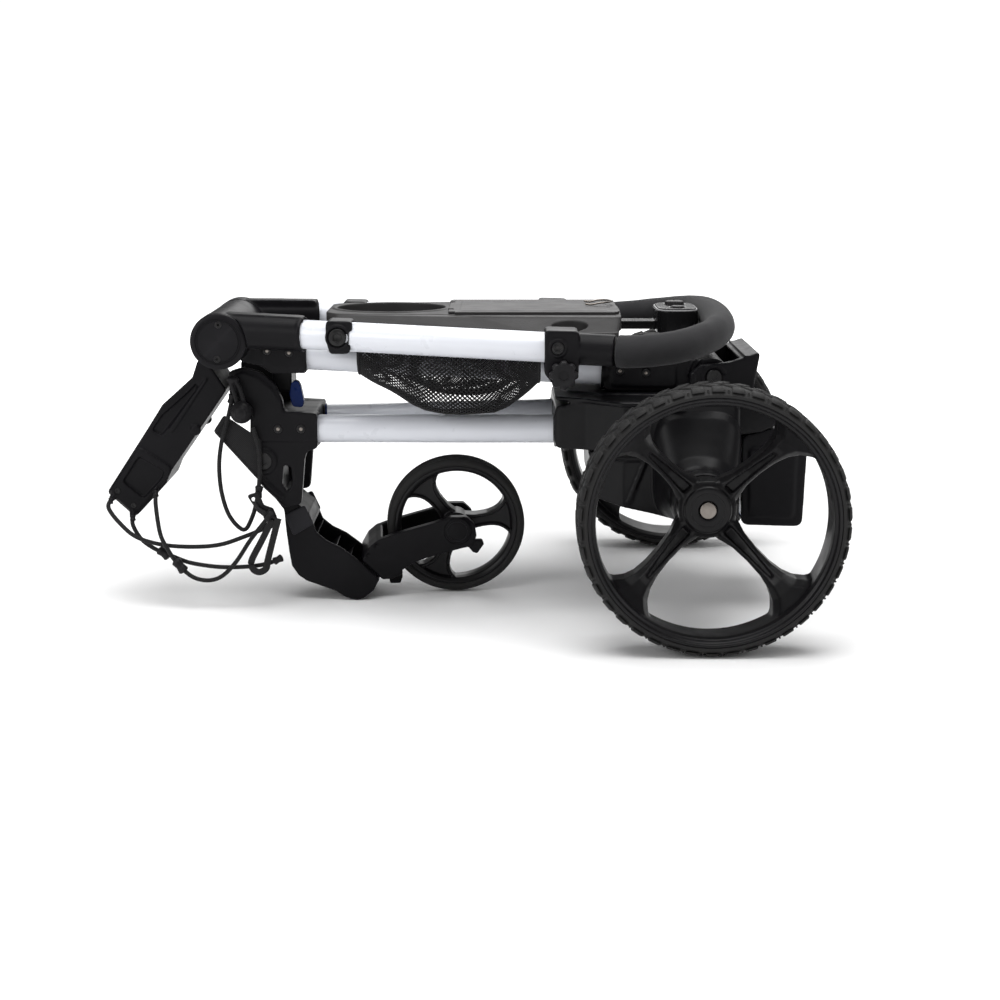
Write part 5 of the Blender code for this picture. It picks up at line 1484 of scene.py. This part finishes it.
def net_rows():
    """The basket's shape: rows of points across, one row for each X station."""
    stations = ((-0.119, 0.286), (-0.100, 0.275), (-0.080, 0.264), (-0.060, 0.253), (-0.040, 0.2440),
                (-0.020, 0.2405), (0.000, 0.2395), (0.020, 0.2400), (0.040, 0.2425), (0.056, 0.250),
                (0.070, 0.260), (0.082, 0.270), (0.092, 0.280))
    rows = []
    for x, low in stations:
        tube_y, tube_z = along(MIDDLE_A, MIDDLE_B, x).y, along(MIDDLE_A, MIDDLE_B, x).z
        rim_y = along(HANDLE_A, HANDLE_B, x).y - 0.026
        over = tube_z + TUBE_R + 0.0035
        half = [(rim_y, 0.327), (rim_y - 0.002, 0.68 * 0.327 + 0.32 * low),
                (rim_y - 0.006, 0.32 * 0.327 + 0.68 * low), (rim_y - 0.015, low + 0.004),
                (0.5 * (rim_y - 0.015 + tube_y + 0.034), low - 0.0005), (tube_y + 0.034, low),
                (tube_y + 0.0235, low + 0.008), (tube_y + 0.0215, tube_z),
                (tube_y + 0.014, over - 0.002), (tube_y, over), (tube_y - 0.012, over + 0.0005),
                (0.0, over + 0.0008)]
        rows.append([Vector((x, -y, z)) for y, z in half] + [Vector((x, y, z)) for y, z in half[-2::-1]])
    return rows


class Surface:
    """A smooth sheet through rows of points, read at (row, length along the row)."""

    def __init__(self, rows):
        self.rows = [smooth_path(row, 6) for row in rows]
        reference = self.rows[len(rows) // 2]
        self.length = sum((b - a).length for a, b in zip(reference, reference[1:]))
        spans = [0.0]
        for a, b in zip(reference, reference[1:]):
            spans.append(spans[-1] + (b - a).length / self.length)
        self.spans = spans

    def column(self, share):
        for k in range(len(self.spans) - 1):
            if self.spans[k + 1] >= share or k == len(self.spans) - 2:
                inside = (share - self.spans[k]) / (self.spans[k + 1] - self.spans[k])
                return k + max(0.0, min(1.0, inside))

    def point(self, row, share):
        column = self.column(share)
        i, j = min(int(row), len(self.rows) - 2), min(int(column), len(self.rows[0]) - 2)
        s, t = row - i, column - j
        low = self.rows[i][j].lerp(self.rows[i][j + 1], t)
        high = self.rows[i + 1][j].lerp(self.rows[i + 1][j + 1], t)
        spot = low.lerp(high, s)
        slack = 0.0030 * noise.noise(Vector((spot.x * 22, spot.y * 22, spot.z * 30)))
        return spot + Vector((0, 0, slack)) * (1.0 if spot.z < 0.31 else 0.2)


def strand(bm, points, radius):
    """A three-sided thread along points."""
    rings = []
    count = len(points)
    for i, point in enumerate(points):
        tangent = (points[min(i + 1, count - 1)] - points[max(i - 1, 0)]).normalized()
        if not rings:
            first = tangent.orthogonal().normalized()
        else:
            first = (first - tangent * first.dot(tangent)).normalized()
        second = tangent.cross(first)
        spokes = [first * cos(tau * k / 3) + second * sin(tau * k / 3) for k in range(3)]
        rings.append([bm.verts.new(point + spoke * radius) for spoke in spokes])
    for a, b in zip(rings, rings[1:]):
        for i in range(3):
            bm.faces.new((a[i], a[(i + 1) % 3], b[(i + 1) % 3], b[i]))
    bm.faces.new(rings[0][::-1])
    bm.faces.new(rings[-1])


def net_basket():
    """Two crossed families of strands over the sheet, and its hem."""
    cloth = Surface(net_rows())
    last_row = len(cloth.rows) - 1
    run = 0.211                                 # length of the basket along X
    steps_x = int(run / NET_PITCH)
    steps_s = int(cloth.length / NET_PITCH)
    bm = bmesh.new()
    for lean in (1, -1):
        for start in range(-steps_s, steps_x + steps_s, 1):
            points = []
            for k in range(steps_s + 1):
                along_x = (start + lean * k) / steps_x
                if 0.0 <= along_x <= 1.0:
                    points.append(cloth.point(along_x * last_row, k / steps_s))
            if len(points) > 2:
                strand(bm, points, NET_WIRE)
    mesh = from_bmesh("mesh_net", bm, M["net"], True)
    done(mesh, "handle_frame", "black_net", "net_basket")
    hems = []
    for share in (0.0, 1.0):
        hems.append(bar([cloth.point(last_row * k / 60, share) for k in range(61)], 0.0019, 10))
    for row in (0.0, float(last_row)):
        hems.append(bar([cloth.point(row, k / 90) for k in range(91)], 0.0019, 10))
    hem = gather("net_hem", hems, M["webbing"])
    hem.data.shade_smooth()
    done(hem, "handle_frame", "black_net")


# ---------------------------------------------------------------- bag cradle and its cords
CORD_R = 0.0026
CORDS = {
    "cord_outer": [(-0.4255, -0.0475, 0.1270), (-0.4275, -0.0540, 0.1170), (-0.4130, -0.0620, 0.1000),
                   (-0.3920, -0.0680, 0.0840), (-0.3600, -0.0720, 0.0755), (-0.3220, -0.0740, 0.0735),
                   (-0.2900, -0.0750, 0.0765), (-0.2620, -0.0760, 0.0860), (-0.2370, -0.0770, 0.0965),
                   (-0.2220, -0.0775, 0.1050)],
    "cord_lower": [(-0.4000, -0.0475, 0.1060), (-0.3990, -0.0520, 0.0950), (-0.3880, -0.0580, 0.0790),
                   (-0.3700, -0.0640, 0.0680), (-0.3470, -0.0700, 0.0600), (-0.3260, -0.0740, 0.0535),
                   (-0.2920, -0.0800, 0.0500), (-0.2580, -0.0830, 0.0510), (-0.2330, -0.0840, 0.0550),
                   (-0.2160, -0.0840, 0.0620)],
    "cord_long": [(-0.3710, -0.0475, 0.1370), (-0.3690, -0.0600, 0.1200), (-0.3620, -0.0760, 0.0900),
                  (-0.3530, -0.0800, 0.0720), (-0.3430, -0.0800, 0.0560), (-0.3250, -0.0850, 0.0400),
                  (-0.3060, -0.0870, 0.0350), (-0.2880, -0.0880, 0.0400), (-0.2700, -0.0890, 0.0580),
                  (-0.2520, -0.0895, 0.0850), (-0.2340, -0.0895, 0.1080), (-0.2250, -0.0895, 0.1200)],
    "cord_loop": [(-0.2715, -0.0680, 0.2560), (-0.2770, -0.0690, 0.2320), (-0.2860, -0.0700, 0.2000),
                  (-0.2895, -0.0705, 0.1700), (-0.2870, -0.0710, 0.1380), (-0.2780, -0.0715, 0.1100),
                  (-0.2620, -0.0715, 0.0940), (-0.2520, -0.0710, 0.1080), (-0.2450, -0.0705, 0.1320),
                  (-0.2410, -0.0700, 0.1650), (-0.2420, -0.0700, 0.1950), (-0.2480, -0.0700, 0.2180)],
}


def bag_cradle():
    """The bag cradle: an open arm with ribs, a stepped foot and lugs for the cords."""
    arm = [(-0.3005, 0.2880), (-0.3020, 0.2975), (-0.3100, 0.2995), (-0.3165, 0.2940), (-0.323, 0.275),
           (-0.342, 0.258), (-0.360, 0.242), (-0.380, 0.211), (-0.4308, 0.1345), (-0.398, 0.1040),
           (-0.392, 0.109), (-0.358, 0.146), (-0.351, 0.162), (-0.282, 0.2600)]
    body = prism(arm, -0.044, 0.044, 0.005)
    pocket = prism([(-0.372, 0.206), (-0.345, 0.187), (-0.415, 0.090), (-0.445, 0.125)], -0.038, 0.038)
    notch = box((-0.3150, -0.0303, 0.2840), (-0.2800, 0.0303, 0.3100))
    cut(body, pocket, notch)
    holes, solids = [], [body]
    for _, side in SIDES:
        # raised edge rib, a groove beside it, the stepped foot with its sunken panel, and a pivot boss
        solids.append(prism([(-0.3040, 0.2740), (-0.3085, 0.2720), (-0.3525, 0.2120), (-0.3505, 0.2085),
                             (-0.3470, 0.2105)], side * 0.0430, side * 0.0462, 0.001))
        holes.append(prism([(-0.3160, 0.2700), (-0.3300, 0.2560), (-0.3600, 0.2300), (-0.3740, 0.2110),
                            (-0.3620, 0.2040), (-0.3180, 0.2600)], side * 0.0405, side * 0.05, 0.004))
        solids.append(prism([(-0.3890, 0.1900), (-0.4270, 0.1350), (-0.3990, 0.1085), (-0.3560, 0.1520),
                             (-0.3520, 0.1660)], side * 0.0430, side * 0.0468, 0.004))
        holes.append(prism([(-0.3900, 0.1800), (-0.4110, 0.1480), (-0.3860, 0.1270), (-0.3620, 0.1530),
                            (-0.3600, 0.1620)], side * 0.0425, side * 0.05, 0.005))
        solids.append(rod((-0.3203, side * 0.0425, 0.2110), (-0.3203, side * 0.0464, 0.2110), 0.0062, 48))
    cx, cz = CRADLE_HINGE
    solids.append(rod((cx, -0.040, cz), (cx, 0.040, cz), 0.0030, 32))
    # lugs that reach from the open end to where each elastic cord is held
    solids += [rod((-0.4150, -0.0400, 0.1370), (-0.4254, -0.0478, 0.1268), 0.0040, 32),
               rod((-0.4000, -0.0400, 0.1180), (-0.3999, -0.0478, 0.1058), 0.0040, 32),
               rod((-0.3740, -0.0400, 0.1450), (-0.3709, -0.0480, 0.1370), 0.0040, 32)]
    cradle = cast("cradle_arm", M["black"], solids, holes, 0.0012, 3)
    done(cradle, "bag_cradle", "satin_black_plastic", "bag_cradle")
    for k, (x, z) in enumerate(((-0.4170, 0.1370), (-0.3985, 0.1190))):
        screw((x, -0.0466, z), (0, -1, 0), 0.0034, "bag_cradle", f"cradle_screw_{k}", "hex", "bolt",
              0.0012)


def cord_curve(name, route, radius=CORD_R):
    """A round cord along a route; also gives the points it runs through."""
    curve = bpy.data.curves.new(name, "CURVE")
    curve.dimensions = "3D"
    curve.bevel_depth = radius
    curve.bevel_resolution = 5
    curve.use_fill_caps = True
    points = smooth_path(route, 6)
    spline = curve.splines.new("POLY")
    spline.points.add(len(points) - 1)
    for point, co in zip(spline.points, points):
        point.co = (*co, 1)
    spline.use_smooth = True
    curve.materials.append(M["cord"])
    obj = bpy.data.objects.new(name, curve)
    bpy.context.scene.collection.objects.link(obj)
    return obj, points


def sleeve(name, centre, direction, length, radius, mat="toggle", waist=0.8):
    """A small moulded slider threaded on a cord: a barrel with rounded ends and a waist."""
    centre, direction = Vector(centre), Vector(direction).normalized()
    spots = [centre + direction * length * (t - 0.5) for t in (0.0, 0.04, 0.12, 0.3, 0.5, 0.7, 0.88,
        0.96, 1.0)]
    sizes = (0.55, 0.80, 1.0, 0.5 + 0.5 * waist, waist, 0.5 + 0.5 * waist, 1.0, 0.80, 0.55)
    bm = bmesh.new()
    side = direction.orthogonal().normalized()
    up = direction.cross(side)
    rings = [[bm.verts.new(spot + (side * cos(tau * k / 32) + up * sin(tau * k / 32)) * radius * size)
              for k in range(32)] for spot, size in zip(spots, sizes)]
    for a, b in zip(rings, rings[1:]):
        for i in range(32):
            bm.faces.new((a[i], a[(i + 1) % 32], b[(i + 1) % 32], b[i]))
    bm.faces.new(rings[0])
    bm.faces.new(rings[-1])
    return done(from_bmesh(name, bm, M[mat], True), "bag_cradle", "satin_black_plastic")


def cords():
    """The four elastic cords with their sliders and ends."""
    fittings = {"cord_outer": [sleeve("outer_collar", (-0.4256, -0.0490, 0.1250), (-0.2, -0.4, -0.9),
                                      0.007, 0.0036), sleeve("outer_hook_barrel",
                                      (-0.2300, -0.0772, 0.1006), (0.8, 0, 0.5), 0.020, 0.0055)],
                "cord_lower": [sleeve("lower_collar", (-0.3998, -0.0485, 0.1035), (0.1, -0.4, -0.9),
                                      0.007, 0.0038), sleeve("lower_slider", (-0.3600, -0.0665, 0.0640),
                                      (0.7, -0.2, -0.5), 0.016, 0.0062),
                               sleeve("lower_end", (-0.2200, -0.0840, 0.0600), (0.8, 0, 0.4), 0.012,
                                      0.0048)], "cord_long": [sleeve("long_collar",
                                      (-0.3706, -0.0500, 0.1340), (0.1, -0.6, -0.7), 0.008, 0.0038),
                                      sleeve("long_slider", (-0.3385, -0.0812, 0.0515),
                                             (0.6, -0.2, -0.7), 0.018, 0.0064),
                                      sleeve("long_end", (-0.2285, -0.0895, 0.1155), (0.6, 0, 0.8),
                                             0.014, 0.0050)], "cord_loop": [sleeve("loop_ferrule",
                                             (-0.2430, -0.0703, 0.1400), (0.15, 0, 1.0), 0.016, 0.0050),
                                             sleeve("loop_top", (-0.2722, -0.0682, 0.2530),
                                                    (-0.2, 0, -1.0), 0.012, 0.0050)],}
    for name, route in CORDS.items():
        obj, points = cord_curve(f"elastic_{name}", route)
        done(obj, "bag_cradle", "elastic_cord", name)


def strap_pieces():
    """The ball toggle, the strap flap, the webbing loop and the cord hooks."""
    head = ball((-0.2600, -0.0780, 0.2380), 0.0135, (1, 1, 1))
    flat = rod((-0.2600, -0.0880, 0.2380), (-0.2600, -0.0905, 0.2380), 0.0070, 48)
    prongs = [bar([(-0.2600 + s, -0.0770, 0.2450), (-0.2628 + s, -0.0755, 0.2560),
                   (-0.2665 + s, -0.0740, 0.2680), (-0.2700 + s * 0.6, -0.0725, 0.2760)], 0.0026, 20)
              for s in (-0.0042, 0.0042)]
    root = ball((-0.2700, -0.0722, 0.2762), 0.0062, (1.2, 0.8, 0.7))
    toggle = cast("ball_knob", M["toggle"], [head, flat, *prongs, root], (), 0.0007, 2)
    done(toggle, "bag_cradle", "satin_black_plastic", "ball_toggle")
    tab = prism([(-0.2830, 0.2330), (-0.2960, 0.2130), (-0.2390, 0.1480), (-0.2390, 0.2030)], -0.0650,
                -0.0634, 0.004)
    stitch = [bar([(-0.2815, -0.0653, 0.2270), (-0.2915, -0.0653, 0.2115)], 0.0004, 8),
              bar([(-0.2915, -0.0653, 0.2115), (-0.2412, -0.0653, 0.1540)], 0.0004, 8)]
    strap = crisp("strap_flap", M["webbing"], [tab], bevel=0.0003)
    done(strap, "bag_cradle", "black_net", "strap_tab")
    seam = gather("strap_stitches", stitch, M["cord"])
    done(seam, "bag_cradle", "black_net")
    # a loop of webbing that hangs from the hooks
    route = [(-0.2254, -0.0905, 0.1097), (-0.2380, -0.0910, 0.0850), (-0.2506, -0.0915, 0.0606),
             (-0.2490, -0.0918, 0.0500), (-0.2413, -0.0920, 0.0465), (-0.2335, -0.0918, 0.0510),
             (-0.2314, -0.0915, 0.0606), (-0.2250, -0.0910, 0.0850), (-0.2176, -0.0905, 0.1120)]
    tape = loft(smooth_path(route, 8), [(-0.0006, -0.0040), (0.0006, -0.0040), (0.0006, 0.0040),
                                        (-0.0006, 0.0040)])
    webbing = crisp("webbing_loop", M["webbing"], [tape], bevel=0.0002)
    webbing.data.shade_smooth()
    done(webbing, "bag_cradle", "black_net")
    hook = bar(smooth_path([(-0.2480, -0.0790, 0.1330), (-0.2430, -0.0850, 0.1240),
                            (-0.2330, -0.0880, 0.1180), (-0.2230, -0.0880, 0.1130),
                            (-0.2190, -0.0840, 0.1060), (-0.2240, -0.0780, 0.1030)], 6), 0.0022, 16)
    plate = prism([(-0.2560, 0.1380), (-0.2420, 0.1420), (-0.2360, 0.1260), (-0.2250, 0.1220),
                   (-0.2200, 0.1100), (-0.2290, 0.1060), (-0.2440, 0.1180)], -0.0810, -0.0765, 0.003)
    hooks = cast("cord_hooks", M["toggle"], [hook, plate], [rod((-0.2480, -0.085, 0.1330),
        (-0.2480, -0.07, 0.1330), 0.0028, 24)], 0.0007, 2)
    done(hooks, "bag_cradle", "satin_black_plastic")


# ---------------------------------------------------------------- hidden parts keep their CAD shape
def hidden_parts():
    """Parts inside the shells keep their CAD shape and get materials of their own."""
    mat, tree, shader = new_material("board_green", (0.012, 0.10, 0.035), 0.4)
    cloud = add_noise(tree, 90.0, 3.0)
    tree.links.new(add_ramp(tree, cloud.outputs["Fac"], 0.45, 0.55, (0.010, 0.085, 0.030),
                            (0.016, 0.13, 0.045)), shader.inputs["Base Color"])
    fine = add_noise(tree, 600.0, 2.0)
    add_bump(tree, shader, [(fine.outputs["Fac"], 0.2, 0.0001)])
    board = mat
    mat, tree, shader = new_material("cell_wrap", (0.06, 0.09, 0.22), 0.35)
    cloud = add_noise(tree, 40.0, 4.0)
    tree.links.new(add_ramp(tree, cloud.outputs["Fac"], 0.3, 0.7, (0.05, 0.075, 0.19),
                            (0.08, 0.11, 0.26)), shader.inputs["Base Color"])
    tree.links.new(add_ramp(tree, cloud.outputs["Fac"], 0.3, 0.7, 0.28, 0.45), shader.inputs["Roughness"])
    cells = mat
    looks = {"control_board": board, "battery_cells": cells, "motor_near": M["steel"],
             "motor_far": M["steel"], "bearing_near": M["steel"], "bearing_far": M["steel"]}
    for node, mat in looks.items():
        obj = bpy.data.objects[node]
        obj.data.materials.clear()
        obj.data.materials.append(mat)


M = make_materials()
set_camera()
set_stage()
frame_tubes()
for side_label, side_sign in SIDES:
    rear_rim(side_label, side_sign)
    rear_tyre(side_label, side_sign)
caster_wheel()
fork()
front_arm()
front_casting()
latch()
rear_housing()
hinge_bracket()
battery()
middle_layer()
handle_arms()
front_clamp()
rear_clamp()
grip()
control_pod()
console()
net_basket()
bag_cradle()
cords()
strap_pieces()
hidden_parts()
